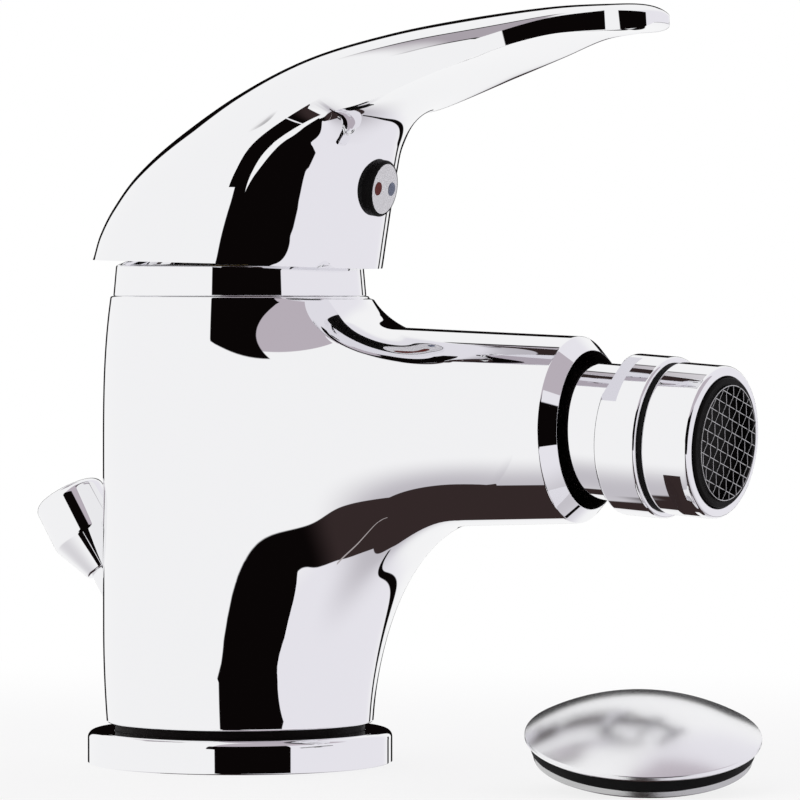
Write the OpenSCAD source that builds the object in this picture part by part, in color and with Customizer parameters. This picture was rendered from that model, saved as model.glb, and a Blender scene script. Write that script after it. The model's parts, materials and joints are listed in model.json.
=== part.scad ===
// Single-lever bidet mixer with a ball-jointed outlet and a pop-up rod.
// Millimetres. The origin is the centre of the base on the deck, +X runs along the spout and +Z is up.

/* [Base] */
// Radius of the base ring at the deck
base_r = 25; // [23.5:0.5:26]
// Height of the base ring
base_h = 5.4; // [4.8:0.1:5.8]
// Width of the dark gap between the base ring and the body
base_gap = 1.3; // [0.8:0.1:1.6]

/* [Body] */
// Radius of the body at its belly
body_r = 22.5; // [22:0.1:23]
// Height of the body's top face above the deck
body_top_z = 76.5; // [75:0.5:78]
// How much the radius draws in at the body's top
body_top_draw = 1.3; // [0.9:0.1:1.5]
// How much the radius draws in at the body's foot
body_foot_draw = 0.6; // [0.2:0.1:0.8]

/* [Spout] */
// Height of the spout's axis
spout_z = 55.3; // [54:0.1:56]
// Reach of the spout's end face from the body's axis
spout_reach = 62; // [61:0.5:64]
// Radius of the spout at its end
spout_end_r = 14.85; // [14.6:0.05:15.2]
// Growth of the spout's radius for each millimetre towards the body
spout_taper = 0.04; // [0.02:0.01:0.05]
// Reach of the blend under the spout, along the spout
blend_under = 20; // [18:1:26]
// Height of the blend under the spout, down the column's front
blend_drop = 31; // [24:1:32]
// Blend radius over the spout
blend_over = 8; // [6:0.5:10]
// Reach of the blend along the spout's sides
blend_side = 38; // [30:1:38]

/* [Handle] */
// Reach of the lever's tip from the body's axis
lever_reach = 76.6; // [74:0.2:80]
// Greatest lift of the lever, in degrees
lift_max = 22; // [15:1:22]
// Radius of the index plug
index_r = 4.6; // [4:0.1:4.8]

/* [Outlet] */
// Radius of the ball in the outlet's joint
ball_r = 7.5; // [7:0.1:7.6]
// Radius of the outlet's first ring
socket_ring_r = 12.75; // [12.4:0.05:13]
// Radius of the outlet's second ring
aerator_r = 12; // [11.8:0.1:12.4]
// Resting tilt of the outlet, degrees below level
outlet_tilt = 4; // [0:1:6]
// Resting turn of the outlet, degrees to the hot side
outlet_pan = 3; // [0:1:5]

/* [Pop-up rod] */
// Lean of the rod from upright, in degrees
rod_lean = 31; // [30:0.5:32]
// Radius of the rod
rod_r = 2.5; // [2.2:0.1:2.8]
// Radius of the knob
knob_r = 6; // [5.5:0.1:6.2]

/* [Waste plug] */
// Radius of the plug's dome
plug_r = 18.4; // [17.6:0.1:19]
// Lean of the free-standing plug, in degrees
plug_lean = 16; // [12:1:24]

/* [Hidden] */
$fn = 96;
// Small shared values: clearances of running, ball and loose fits, and the overshoot of cuts
run_gap = 0.05;
ball_gap = 0.1;
loose_gap = 0.2;
cut = 1;

// Base and body
foot_z = base_h + base_gap;
ledge_z = 2;
spigot_r = 20.5;
base_bore_r = 18;
cavity_r = 17.4;
cavity_top_z = 28;
gasket_r = [19.6, 22.4];
gasket_h = 1.5;
belly_z = [22, 50];
base_edge_r = 1.2;
boss_wall = 1.2;
spout_bevel = 2.2;
// Edge of the blend on the column, seen along the spout: its half width as a share of the column's, and the
// powers of the superellipse under and over the spout
blend_edge = 0.985;
blend_power = [6, 2.8];

// Cartridge, from its seat in the body upwards
seat_depth = 24.5;
seat_z = body_top_z - seat_depth;
chamber_r = 17.6;
cart_r = 17.45;
cart_base_h = 4.5;
fixed_disc_h = 3.5;
fixed_disc_r = 13.5;
moving_disc_h = 3;
moving_disc_r = 10;
fixed_z = seat_z + cart_base_h;
moving_z = fixed_z + fixed_disc_h;
carrier_z = moving_z + moving_disc_h;
carrier_h = 4.5;
carrier_half_w = 6.8;
flange_gap = 0.5;
rotor_z = carrier_z + carrier_h + flange_gap;
flange_h = 1.3;
flange_r = 14.3;
roof_z = rotor_z + flange_h + loose_gap;
shoulder_drop = 3.5;
shoulder_z = body_top_z - shoulder_drop;
neck_rise = 7.5;
neck_top_z = body_top_z + neck_rise;
neck_r = 13.5;
rotor_r = 11;
rotor_inset = 0.5;
rotor_top_z = neck_top_z - rotor_inset;
pin_drop = 1.5;
pin_z = body_top_z - pin_drop;
pin_r = 1.5;
pin_fit = 0.01;
pin_inset = 0.5;
pin_len = 2 * (rotor_r - pin_inset);
stem_half = 4;
stem_rise = 23.5;
stem_top_z = body_top_z + stem_rise;
stem_waist = 2;
stem_ball_r = 2.9;
stem_ball_rise = 3.5;
stem_ball_z = carrier_z + stem_ball_rise;
slide_gap = 0.25;
stem_gap = 0.3;
stem_side_gap = 0.1;
stem_swing = (pin_z - stem_ball_z) * sin(lift_max);
stem_back = stem_half / cos(lift_max) + (rotor_top_z - pin_z) * tan(lift_max);
cheek_len = 12;
cheek_w = 2.4;
cheek_drop = 3;
carrier_flange_h = 1.2;
carrier_floor = 0.3;
nut_r = 18.9;
nut_step_z = shoulder_z - loose_gap;
nut_rise = 3.5;
nut_top_z = body_top_z + nut_rise;
nut_hex_r = 17;
nut_hex_h = 1;
port_r = 3;
port_spread = 7.5;
port_x = -4;
outlet_port_x = 9;
outlet_drop = 5;
port_seal_w = 1.4;
port_seal_h = 1;
disc_pocket_x = 3;
disc_pocket_r = 4;
disc_pocket_h = 1.5;
collar_r = [20.75, 20.3];
collar_side_h = 5;
collar_side_z = body_top_z + collar_side_h;
collar_dome_h = 2.1;
collar_top_z = collar_side_z + collar_dome_h;
collar_top_r = 14.2;
collar_wall = 1.55;
collar_roof = 1.2;
collar_flat = 1;

// Inlets and fixing stud in the body's underside
inlet_r = 5;
inlet_y = 9;
inlet_x = 4;
inlet_len = 12;
stud_r = 4;
stud_x = 12.5;
stud_len = 10;

// Handle: stations down the lever, from the rim round the cartridge to the blade's tip.
// Each holds the ridge, the middle and half width of the crease, the same for the lower edge, and the
// middle of the front or underside. Places are [x, z] in the plane of symmetry, above the body's top.
stations = [
    [[-23.6, 6], [8.3, 5.2], 22.2, [8.6, 5.2], 22.1, [23.9, 4.4]],
    [[-22.9, 10], [8.7, 9.8], 21.9, [9.4, 9.7], 21.5, [24.6, 9.5]],
    [[-20.8, 14.5], [9.4, 14.8], 21.4, [10.4, 14.5], 20.7, [25.5, 15.5]],
    [[-16.6, 20], [11, 19.8], 20.6, [12, 19.5], 19.6, [26.4, 20.7]],
    [[-9.5, 26], [13.6, 24.7], 18.6, [15, 24.2], 17.4, [27.6, 24.8]],
    [[1.5, 33.1], [20.2, 29.8], 15.6, [21.7, 28.6], 14.2, [30.5, 29.1]],
    [[14.5, 38.7], [29.4, 34.1], 14.6, [30.4, 30.6], 13.9, [36.2, 32.9]],
    [[29.5, 42.3], [41, 37.5], 14.6, [41.8, 34.6], 14.1, [45.2, 36.9]],
    [[44.5, 44.5], [51.9, 40.7], 13.8, [52.4, 38.3], 13.4, [54.2, 39.5]],
    [[59, 45.9], [61.4, 43.5], 10.5, [61.6, 40.9], 10.2, [62.4, 41.7]],
    [[69.3, 46.1], [69.7, 44.7], 6.8, [69.8, 41.7], 6.6, [70, 42.1]]
];
// Near the rim the shell bulges and the neck draws in past their ellipses. Both fade out by one station,
// and from there the shell meets its crease at a rake.
shell_bulge = 0.36;
neck_draw = 0.25;
sculpt_end = 5;
shell_rake = 24;
under_start = 4;
between = 3;
half_points = 22;
tip_steps = 4;
tip_z = 43.7;
tip_end = 0.25;
tip_taper = 0.25;
hood_r = [21.9, 21.7, 18.5];
hood_z = [1.5, 5.5, 14.5];
index_z = 17.5;
index_face_x = 25.75;
index_lean = 9;
index_proud = 1.3;
index_depth = 4;
index_edge = 0.6;
mark_spread = 2.25;
mark_r = 1.1;
mark_h = 0.5;
mark_proud = 0.1;
screw_z = 18.5;
screw_r = 2.5;
screw_span = [stem_half, 12];
key_r = 1.45;
key_h = 2.5;

// Outlet: places along the spout's axis, and distances from the ball's centre
ball_ahead = 2;
ball_x = spout_reach + ball_ahead;
waterway_r = 9.6;
waterway_x = 24;
recess_depth = 13;
recess_x = spout_reach - recess_depth;
recess_r = 12.5;
nipple_seal_h = 1;
nipple_flange_h = 2;
nipple_flange_r = 11.5;
nipple_neck_r = 4.2;
nipple_bore_r = 3.2;
nipple_tail = 8;
ball_cut = 6;
seal_wall = 1.3;
seal_span = [42, 128];
seal_in_r = ball_r + ball_gap;
seal_out_r = seal_in_r + seal_wall;
socket_in_r = seal_out_r + ball_gap;
socket_neck_r = 10.8;
socket_back = -6.4;
ring_1 = [2, 12];
ring_2 = [13, 23];
ring_1_edge = 0.6;
ring_2_edge = 0.9;
flat_depth = 1.1;
flat_1_len = 6;
flat_2_from = 4.5;
flat_2_rim = 1.6;
spigot_back = 8;
spigot_bore_r = 7.2;
insert_r = 10.2;
insert_in_r = 9;
insert_ledge = 2;
insert_inset = 0.9;
insert_seat = ring_2[0] + insert_ledge;
insert_top = ring_2[1] - insert_inset;
gasket_inset = 0.5;
grid_pitch = 2.4;
grid_bar = 0.6;
grid_half = 3;
grid_drop = 2;
screen_h = 0.6;
screen_pitch = 1.8;
screen_wire = 0.6;
screen_roll = 25;
flat_angle = 50;

// Pop-up rod: distances along its axis, downwards from the knob's top
knob_top = [-33.5, 0, 43.9];
knob_side_len = 8.6;
knob_len = 15;
knob_small_r = 3.3;
knob_dome = 1;
knob_crown_in = 2.2;
knob_crown_r = knob_r - knob_crown_in;
knob_edge_in = 0.6;
knob_edge_r = knob_r - knob_edge_in;
rod_end = 49;
bush_span = [29, 38];
bush_r = 4;
boss_r = 6.4;
boss_back = 12;

// Waste plug: its place on the deck and its heights below the dome's rim
plug_at = [79.5, -12.8];
plug_turn = -60;
plug_crown = 5.2;
plug_rim_h = 0.8;
plug_seal_h = 2;
plug_ring_h = 1.2;
plug_ring_r = 17;
plug_stem_r = 4;
plug_seal_out = 0.4;
plug_ring_grip = 0.5;
plug_under = plug_seal_h + plug_ring_h;
plug_dome_r = (plug_r * plug_r + plug_crown * plug_crown) / (2 * plug_crown);
plug_raise = plug_under * cos(plug_lean) + plug_ring_r * sin(plug_lean);
plug_stem_len = (plug_raise - plug_stem_r * sin(plug_lean)) / cos(plug_lean);

// Skin of the body: rings of points round the spout's axis, from the column's back to the spout's end.
// Each ring angle gives one line down the skin: over the column, through the blend and along the spout.
skin_turns = 64;
column_steps = 15;
blend_steps = 10;
skin_over = 6;

function body_radius(z) =
    let (low = (belly_z[0] - max(z, foot_z)) / (belly_z[0] - foot_z),
         high = (min(z, body_top_z) - belly_z[1]) / (body_top_z - belly_z[1]))
    body_r - body_foot_draw * pow(max(low, 0), 2) - body_top_draw * pow(max(high, 0), 3);
function spout_radius(x) = spout_end_r + spout_taper * (spout_reach - x);

// Size of the blend at a turn: its reach along the spout, and across from the spout to the blend's edge
function blend_size(turn) =
    let (s = sin(turn), c = cos(turn), over = s > 0, far = over ? blend_over : blend_under,
         drop = over ? blend_over : blend_drop,
         power = over ? blend_power[1] : blend_power[0], root = spout_radius(body_r),
         side = pow(abs(c) / (blend_edge * body_r), power), end = pow(abs(s) / (root + drop), power))
    [far + (blend_side - far) * c * c, pow(side + end, -1 / power) - root];

// Point at a distance from the spout's axis that stands off the column's front by a given amount
function front_point(turn, away, off) =
    let (y = away * cos(turn), z = spout_z + away * sin(turn))
    [sqrt(max(pow(body_radius(z) + off, 2) - y * y, 0.01)), y, z];
function blend_point(turn, t) =
    let (size = blend_size(turn), off = size[0] * (1 - cos(t)), up = size[1] * (1 - sin(t)),
         guess = front_point(turn, spout_radius(body_r) + up, off))
    front_point(turn, spout_radius(guess[0]) + up, off);

// Point where a line of sight from the middle of the column meets its wall or the planes past its ends
function column_point(turn, swing) =
    let (d = [-cos(swing), sin(swing) * cos(turn), sin(swing) * sin(turn)],
         flat = max(norm([d[0], d[1]]), 0.001),
         near_r = body_radius(spout_z + d[2] * body_r / flat),
         wall = body_radius(spout_z + d[2] * near_r / flat) / flat,
         end = d[2] > 0 ? body_top_z + skin_over - spout_z : spout_z - foot_z + skin_over)
    [0, 0, spout_z] + d * min(wall, end / max(abs(d[2]), 0.001));
function spout_point(turn, x, r) = [x, r * cos(turn), spout_z + r * sin(turn)];

function skin_line(turn) =
    let (edge = blend_point(turn, 0), reach = norm([edge[1], edge[2] - spout_z]),
         last = 180 - atan2(reach, edge[0]), lip_x = spout_reach - spout_bevel)
    concat(
        [for (i = [1 : column_steps]) column_point(turn, last * i / (column_steps + 1))],
        [for (i = [0 : blend_steps]) blend_point(turn, 90 * i / blend_steps)],
        [spout_point(turn, lip_x, spout_radius(lip_x)),
            spout_point(turn, spout_reach, spout_radius(lip_x) - spout_bevel)]);

// Closed skin of rows of points: a point at each end, and quads between neighbouring rows
module closed_rows(rows, first, last) {
    n = len(rows[0]);
    m = len(rows);
    points = concat([first], [for (row = rows) each row], [last]);
    faces = concat(
        [for (i = [0 : n - 1]) [0, 1 + i, 1 + (i + 1) % n]],
        [for (j = [0 : m - 2], i = [0 : n - 1]) let (k = (i + 1) % n)
            each [[1 + j * n + i, 1 + (j + 1) * n + i, 1 + j * n + k],
                  [1 + j * n + k, 1 + (j + 1) * n + i, 1 + (j + 1) * n + k]]],
        [for (i = [0 : n - 1]) [1 + m * n, 1 + (m - 1) * n + (i + 1) % n, 1 + (m - 1) * n + i]]);
    polyhedron(points, faces);
}

module body_skin() {
    lines = [for (i = [0 : skin_turns - 1]) skin_line(360 * i / skin_turns)];
    rows = [for (j = [0 : len(lines[0]) - 1]) [for (line = lines) line[j]]];
    closed_rows(rows, [-body_radius(spout_z), 0, spout_z], [spout_reach, 0, spout_z]);
}

// Frames: along the spout, along the rod from the knob's top downwards, and of the leaning plug
module along_x(x, z) {
    translate([x, 0, z]) rotate([0, 90, 0]) children();
}
module along_rod() {
    translate(knob_top) rotate([0, 180 - rod_lean, 0]) children();
}
module outlet_frame() {
    translate([ball_x, 0, spout_z]) rotate([0, outlet_tilt, -outlet_pan]) rotate([0, 90, 0]) children();
}
module plug_frame() {
    translate([plug_at[0], plug_at[1], plug_raise])
        rotate([0, 0, plug_turn]) rotate([0, plug_lean, 0]) children();
}
module ring(r_in, r_out, h) {
    linear_extrude(h) difference() {
        circle(r_out);
        circle(r_in);
    }
}
module bar(r, from, to) {
    translate([0, 0, from]) cylinder(r = r, h = to - from);
}

// Root pieces
module body() {
    color("gainsboro") difference() {
        union() {
            intersection() {
                body_skin();
                bar(spout_reach + base_r, foot_z, body_top_z);
            }
            bar(spigot_r, ledge_z, foot_z + cut);
        }
        difference() {
            bar(cavity_r, ledge_z - cut, cavity_top_z);
            intersection() {
                along_rod() bar(boss_r, bush_span[0] - boss_back, bush_span[1]);
                bar(body_r - boss_wall, 0, cavity_top_z);
            }
        }
        along_rod() bar(rod_r + loose_gap, 0, bush_span[1] + cut);
        along_rod() bar(bush_r, bush_span[0], bush_span[1] + cut);
        bar(chamber_r, seat_z, body_top_z + cut);
        bar(nut_r + run_gap, nut_step_z, body_top_z + cut);
        for (y = [-inlet_y, inlet_y]) {
            translate([inlet_x, y, 0]) bar(inlet_r, cavity_top_z - cut, cavity_top_z + inlet_len);
            hull() {
                translate([inlet_x, y, cavity_top_z + inlet_len - port_r]) sphere(port_r, $fn = 24);
                translate([port_x, sign(y) * port_spread, seat_z - port_r]) sphere(port_r, $fn = 24);
            }
            translate([port_x, sign(y) * port_spread, 0]) bar(port_r, seat_z - port_r, seat_z + cut);
        }
        translate([stud_x, 0, 0]) bar(stud_r, cavity_top_z - cut, cavity_top_z + stud_len);
        translate([outlet_port_x, 0, 0]) bar(port_r, seat_z - outlet_drop, seat_z + cut);
        along_x(outlet_port_x, seat_z - outlet_drop)
            cylinder(r = port_r, h = waterway_x + cut - outlet_port_x);
        translate([outlet_port_x, 0, seat_z - outlet_drop]) sphere(port_r);
        along_x(waterway_x, spout_z) cylinder(r = waterway_r, h = recess_x - waterway_x + cut);
        along_x(recess_x, spout_z) cylinder(r = recess_r, h = spout_reach - recess_x + cut);
    }
}
module base_ring() {
    color("gainsboro") rotate_extrude() difference() {
        union() {
            translate([base_bore_r, 0]) square([base_r - base_edge_r - base_bore_r, base_h]);
            square_and_round();
        }
        translate([0, ledge_z]) square([spigot_r + run_gap, base_h]);
        translate([gasket_r[0] - loose_gap, -cut])
            square([gasket_r[1] - gasket_r[0] + 2 * loose_gap, gasket_h + cut]);
    }
}
// Outer edge of the base ring: a straight side under a rounded shoulder
module square_and_round() {
    inner = base_r - base_edge_r;
    translate([inner - cut, 0]) square([base_edge_r + cut, base_h - base_edge_r]);
    translate([inner, base_h - base_edge_r]) circle(base_edge_r, $fn = 32);
}
module base_gasket() {
    color("dimgray") ring(gasket_r[0], gasket_r[1], gasket_h);
}
module cartridge_ports(from, to) {
    for (y = [-port_spread, port_spread]) translate([port_x, y, 0]) bar(port_r, from, to);
    translate([outlet_port_x, 0, 0]) bar(port_r, from, to);
}
module seal_pocket() {
    bar(port_r + port_seal_w + 2 * run_gap, seat_z - cut, seat_z + port_seal_h);
}
module cartridge_base() {
    color("ivory") difference() {
        bar(cart_r, seat_z, fixed_z);
        cartridge_ports(seat_z - cut, fixed_z + cut);
        for (y = [-port_spread, port_spread]) translate([port_x, y, 0]) seal_pocket();
        translate([outlet_port_x, 0, 0]) seal_pocket();
    }
}
module cartridge_seals() {
    places = [[port_x, -port_spread, seat_z], [port_x, port_spread, seat_z], [outlet_port_x, 0, seat_z]];
    color("dimgray") for (place = places) translate(place) ring(port_r, port_r + port_seal_w, port_seal_h);
}
module fixed_disc() {
    color("white") difference() {
        bar(fixed_disc_r, fixed_z, moving_z);
        cartridge_ports(fixed_z - cut, moving_z + cut);
    }
}
module cartridge_housing() {
    color("ivory") difference() {
        union() {
            bar(cart_r, fixed_z, shoulder_z);
            bar(neck_r, shoulder_z - cut, neck_top_z);
        }
        bar(fixed_disc_r + run_gap, fixed_z - cut, moving_z + cut);
        bar(flange_r + flange_gap, moving_z, roof_z);
        bar(rotor_r + run_gap, roof_z - cut, neck_top_z + cut);
    }
}
module cartridge_nut() {
    color("goldenrod") difference() {
        union() {
            bar(nut_r, shoulder_z, body_top_z);
            bar(collar_r[1] - collar_wall - run_gap, body_top_z - cut, nut_top_z);
            translate([0, 0, nut_top_z - cut]) cylinder(r = nut_hex_r, h = nut_hex_h + cut, $fn = 6);
        }
        bar(neck_r + loose_gap, shoulder_z - cut, nut_top_z + nut_hex_h + cut);
    }
}
module collar() {
    inner_r = collar_r[1] - collar_wall;
    color("gainsboro") rotate_extrude()
        polygon([[inner_r, body_top_z], [collar_r[0], body_top_z], [collar_r[1], collar_side_z],
                 [collar_top_r + collar_flat, collar_top_z], [collar_top_r, collar_top_z],
                 [collar_top_r, collar_top_z - collar_roof], [inner_r, collar_side_z - collar_roof]]);
}
module rod_bush() {
    color("ivory") along_rod() translate([0, 0, bush_span[0]])
        ring(rod_r + run_gap, bush_r - run_gap / 2, bush_span[1] - bush_span[0]);
}
module ball_nipple() {
    tail_x = recess_x - nipple_tail;
    flange_x = recess_x + nipple_seal_h;
    color("silver") difference() {
        union() {
            along_x(tail_x, spout_z) cylinder(r = waterway_r - run_gap, h = flange_x - tail_x + cut);
            along_x(flange_x, spout_z) cylinder(r = nipple_flange_r, h = nipple_flange_h);
            along_x(flange_x, spout_z) cylinder(r = nipple_neck_r, h = ball_x - flange_x);
            translate([ball_x, 0, spout_z]) sphere(ball_r);
        }
        along_x(tail_x - cut, spout_z) cylinder(r = nipple_bore_r, h = ball_x + ball_r - tail_x + 2 * cut);
        along_x(ball_x + ball_cut, spout_z) cylinder(r = ball_r, h = ball_r);
    }
}
module nipple_seal() {
    color("dimgray") along_x(recess_x, spout_z) ring(waterway_r + run_gap, nipple_flange_r, nipple_seal_h);
}

// Cartridge pieces that turn with the handle
module rotor() {
    slot_w = 2 * (stem_half + stem_side_gap);
    color("lightgray") difference() {
        union() {
            bar(flange_r, rotor_z, rotor_z + flange_h);
            bar(rotor_r, rotor_z, rotor_top_z);
            for (side = [-1, 1]) intersection() {
                translate([-cheek_len / 2, side * (carrier_half_w + loose_gap + cheek_w / 2) - cheek_w / 2,
                           rotor_z - cheek_drop])
                    cube([cheek_len, cheek_w, cheek_drop + cut]);
                bar(flange_r, rotor_z - cheek_drop, rotor_z + cut);
            }
        }
        translate([-stem_half - stem_gap, -slot_w / 2, rotor_z - cut])
            cube([stem_half + stem_ball_r + stem_swing + 2 * stem_gap, slot_w, pin_z - rotor_z + cut]);
        translate([-stem_back - stem_gap, -slot_w / 2, pin_z - stem_gap])
            cube([stem_back + stem_half + 2 * stem_gap, slot_w, rotor_top_z - pin_z + cut]);
        translate([0, 0, pin_z]) rotate([90, 0, 0])
            cylinder(r = pin_r, h = 2 * rotor_r + cut, center = true);
    }
}
module stem_pin() {
    color("silver") translate([0, 0, pin_z]) rotate([90, 0, 0])
        cylinder(r = pin_r - pin_fit, h = pin_len, center = true);
}
module moving_disc() {
    color("white") difference() {
        bar(moving_disc_r, moving_z, carrier_z);
        hull() for (x = [-disc_pocket_x, disc_pocket_x]) translate([x, 0, moving_z - cut])
            cylinder(r = disc_pocket_r, h = disc_pocket_h + cut, $fn = 32);
    }
}
module disc_carrier() {
    color("lightgray") difference() {
        union() {
            bar(moving_disc_r, carrier_z, carrier_z + carrier_flange_h);
            intersection() {
                bar(moving_disc_r, carrier_z, carrier_z + carrier_h);
                translate([-moving_disc_r, -carrier_half_w, carrier_z])
                    cube([2 * moving_disc_r, 2 * carrier_half_w, carrier_h]);
            }
        }
        translate([-stem_ball_r - slide_gap, -stem_half - loose_gap, carrier_z + carrier_floor])
            cube([2 * (stem_ball_r + slide_gap), 2 * (stem_half + loose_gap), carrier_h]);
    }
}

// Handle
function curve_through(a, b, c, d, t) =
    0.5 * (2 * b + (c - a) * t + (2 * a - 5 * b + 4 * c - d) * t * t + (3 * b - a - 3 * c + d) * t * t * t);
function station_value(k, t, field) =
    let (last = len(stations) - 1)
    curve_through(stations[max(k - 1, 0)][field], stations[k][field], stations[min(k + 1, last)][field],
                  stations[min(k + 2, last)][field], t);
function station(k, t) =
    concat([for (field = [0 : 5]) station_value(k, t, field)], max(0, 1 - (k + t) / sculpt_end));

// One ring of the lever: over the ridge from crease to crease, then back through the front or underside
function shell_point(s, share) =
    let (rake = shell_rake * (1 - s[6]), a = rake + (180 - 2 * rake) * share,
         arch = (sin(a) - sin(rake)) / (1 - sin(rake)), p = s[1] + (s[0] - s[1]) * arch)
    [p[0], s[2] * cos(a) / cos(rake) * (1 + shell_bulge * s[6] * arch), p[1]];
function under_point(s, share) =
    let (a = under_start + (180 - 2 * under_start) * share, p = s[3] + (s[5] - s[3]) * sin(a))
    [p[0], -s[4] * cos(a) * (1 - neck_draw * s[6] * sin(a)), p[1]];
function lever_ring(s) = concat(
    [for (i = [0 : half_points]) shell_point(s, i / half_points)],
    [for (i = [0 : half_points]) under_point(s, i / half_points)]);
function tip_ring(q) =
    let (s = station(len(stations) - 2, 1), x = s[1][0] + (lever_reach - s[1][0]) * sin(90 * q),
         shrink = pow(1 - pow(sin(90 * q), 3), 1 / 3),
         wide = (tip_end + (1 - tip_end) * shrink) * (1 - tip_taper * sin(90 * q)))
    [for (p = lever_ring(s)) [x + (p[0] - s[1][0]) * shrink, p[1] * wide, tip_z + (p[2] - tip_z) * shrink]];

// Frame of the index plug, with its outward way along the frame's Z
module index_frame() {
    translate([index_face_x, 0, body_top_z + index_z]) rotate([0, 90 + index_lean, 0]) children();
}
module lever() {
    rows = concat(
        [for (k = [0 : len(stations) - 2], i = [0 : between - 1]) lever_ring(station(k, i / between))],
        [for (i = [0 : tip_steps - 1]) tip_ring(i / tip_steps)]);
    rim = [(stations[0][0][0] + stations[0][5][0]) / 2, 0, (stations[0][0][1] + stations[0][5][1]) / 2];
    roof_z = body_top_z + hood_z[2];
    color("gainsboro") difference() {
        translate([0, 0, body_top_z]) closed_rows(rows, rim, [lever_reach, 0, tip_z]);
        translate([0, 0, body_top_z]) rotate_extrude()
            polygon([[0, hood_z[0]], [hood_r[0], hood_z[0]], [hood_r[1], hood_z[1]],
                     [hood_r[2], hood_z[2]], [0, hood_z[2]]]);
        translate([-stem_half, -stem_half, roof_z - cut])
            cube([2 * stem_half, 2 * stem_half, stem_top_z - roof_z + cut]);
        along_x(0, body_top_z + screw_z) cylinder(r = screw_r, h = index_face_x);
        index_frame() bar(index_r, -index_depth, index_depth + cut);
    }
}
module stem() {
    color("silver") difference() {
        union() {
            translate([-stem_half, -stem_half, pin_z])
                cube([2 * stem_half, 2 * stem_half, stem_top_z - pin_z]);
            translate([0, 0, pin_z]) rotate([90, 0, 0])
                cylinder(r = stem_half, h = 2 * stem_half, center = true);
            translate([-stem_waist, -stem_half, stem_ball_z])
                cube([2 * stem_waist, 2 * stem_half, pin_z - stem_ball_z]);
            translate([0, 0, stem_ball_z]) rotate([90, 0, 0])
                cylinder(r = stem_ball_r, h = 2 * stem_half, center = true);
        }
        translate([0, 0, pin_z]) rotate([90, 0, 0])
            cylinder(r = pin_r + run_gap, h = 4 * stem_half, center = true);
    }
}
module grub_screw() {
    color("dimgray") along_x(screw_span[0], body_top_z + screw_z) difference() {
        cylinder(r = screw_r, h = screw_span[1] - screw_span[0]);
        translate([0, 0, screw_span[1] - screw_span[0] - key_h])
            cylinder(r = key_r, h = key_h + cut, $fn = 6);
    }
}
module index_marks(side) {
    index_frame() translate([0, side * mark_spread, index_proud - mark_h])
        cylinder(r = mark_r, h = mark_h + mark_proud);
}
module index_plug() {
    color("white") difference() {
        index_frame() rotate_extrude() {
            translate([0, -index_depth]) square([index_r, index_depth + index_proud - index_edge]);
            translate([0, -index_depth]) square([index_r - index_edge, index_depth + index_proud]);
            translate([index_r - index_edge, index_proud - index_edge]) circle(index_edge, $fn = 24);
        }
        for (side = [-1, 1]) index_marks(side);
    }
}
module hot_mark() {
    color("red") index_marks(-1);
}
module cold_mark() {
    color("royalblue") index_marks(1);
}

// Outlet pieces, along the outlet's own axis from the ball's centre
module ball_seal() {
    far = 2 * seal_out_r;
    color("white") outlet_frame() rotate_extrude() difference() {
        intersection() {
            circle(seal_out_r);
            polygon([[0, 0], far * [sin(seal_span[0]), cos(seal_span[0])], [far, far], [far, -far],
                     far * [sin(seal_span[1]), cos(seal_span[1])]]);
        }
        circle(seal_in_r);
    }
}
// Two opposite wrench flats across a ring, turned about the outlet's axis
module wrench_flats(span, across, turn) {
    for (side = [0, 180]) rotate([0, 0, turn + side])
        translate([across, -base_r, span[0]]) cube([base_r, 2 * base_r, span[1] - span[0]]);
}
module rounded_bar(r, from, to, edge) {
    translate([0, 0, from]) rotate_extrude() {
        square([r - edge, to - from]);
        translate([0, edge]) square([r, to - from - 2 * edge]);
        translate([r - edge, edge]) circle(edge, $fn = 24);
        translate([r - edge, to - from - edge]) circle(edge, $fn = 24);
    }
}
module swivel_socket() {
    color("gainsboro") outlet_frame() difference() {
        union() {
            bar(socket_neck_r, socket_back, ring_1[0] + cut);
            rounded_bar(socket_ring_r, ring_1[0], ring_1[1], ring_1_edge);
        }
        sphere(socket_in_r);
        bar(socket_in_r, 0, ring_1[1] + cut);
        wrench_flats([ring_1[0] - cut, ring_1[0] + flat_1_len], socket_ring_r - flat_depth, 90 - flat_angle);
    }
}
module aerator_housing() {
    color("gainsboro") outlet_frame() difference() {
        union() {
            bar(socket_in_r - run_gap, spigot_back, ring_2[0] + cut);
            rounded_bar(aerator_r, ring_2[0], ring_2[1], ring_2_edge);
        }
        bar(spigot_bore_r, spigot_back - cut, insert_seat + cut);
        bar(insert_r, insert_seat, ring_2[1] + cut);
        wrench_flats([ring_2[0] + flat_2_from, ring_2[1] - flat_2_rim],
                     aerator_r - flat_depth, 90 + flat_angle);
    }
}
module aerator_gasket() {
    color("black") outlet_frame() translate([0, 0, ring_1[1]])
        ring(socket_in_r, aerator_r - gasket_inset, ring_2[0] - ring_1[1]);
}
module aerator_insert() {
    h = insert_top - insert_seat;
    color("black") outlet_frame() translate([0, 0, insert_seat]) {
        ring(insert_in_r, insert_r - run_gap / 2, h);
        linear_extrude(h - screen_h - grid_drop) intersection() {
            circle((insert_in_r + insert_r) / 2);
            for (k = [-grid_half : grid_half], turn = [0, 90]) rotate(turn)
                translate([k * grid_pitch, 0]) square([grid_bar, 2 * insert_r], center = true);
        }
    }
}
module aerator_screen() {
    n = floor(insert_in_r / screen_pitch) + 1;
    hole = screen_pitch - screen_wire;
    color("silver") outlet_frame() translate([0, 0, insert_top - screen_h]) linear_extrude(screen_h)
        rotate(screen_roll) difference() {
            circle(insert_in_r);
            intersection() {
                circle(insert_in_r - screen_wire / 2);
                for (i = [-n : n], j = [-n : n]) if (norm([i, j]) * screen_pitch < insert_in_r - hole)
                    translate([i * screen_pitch, j * screen_pitch]) square(hole, center = true);
            }
        }
}

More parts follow.
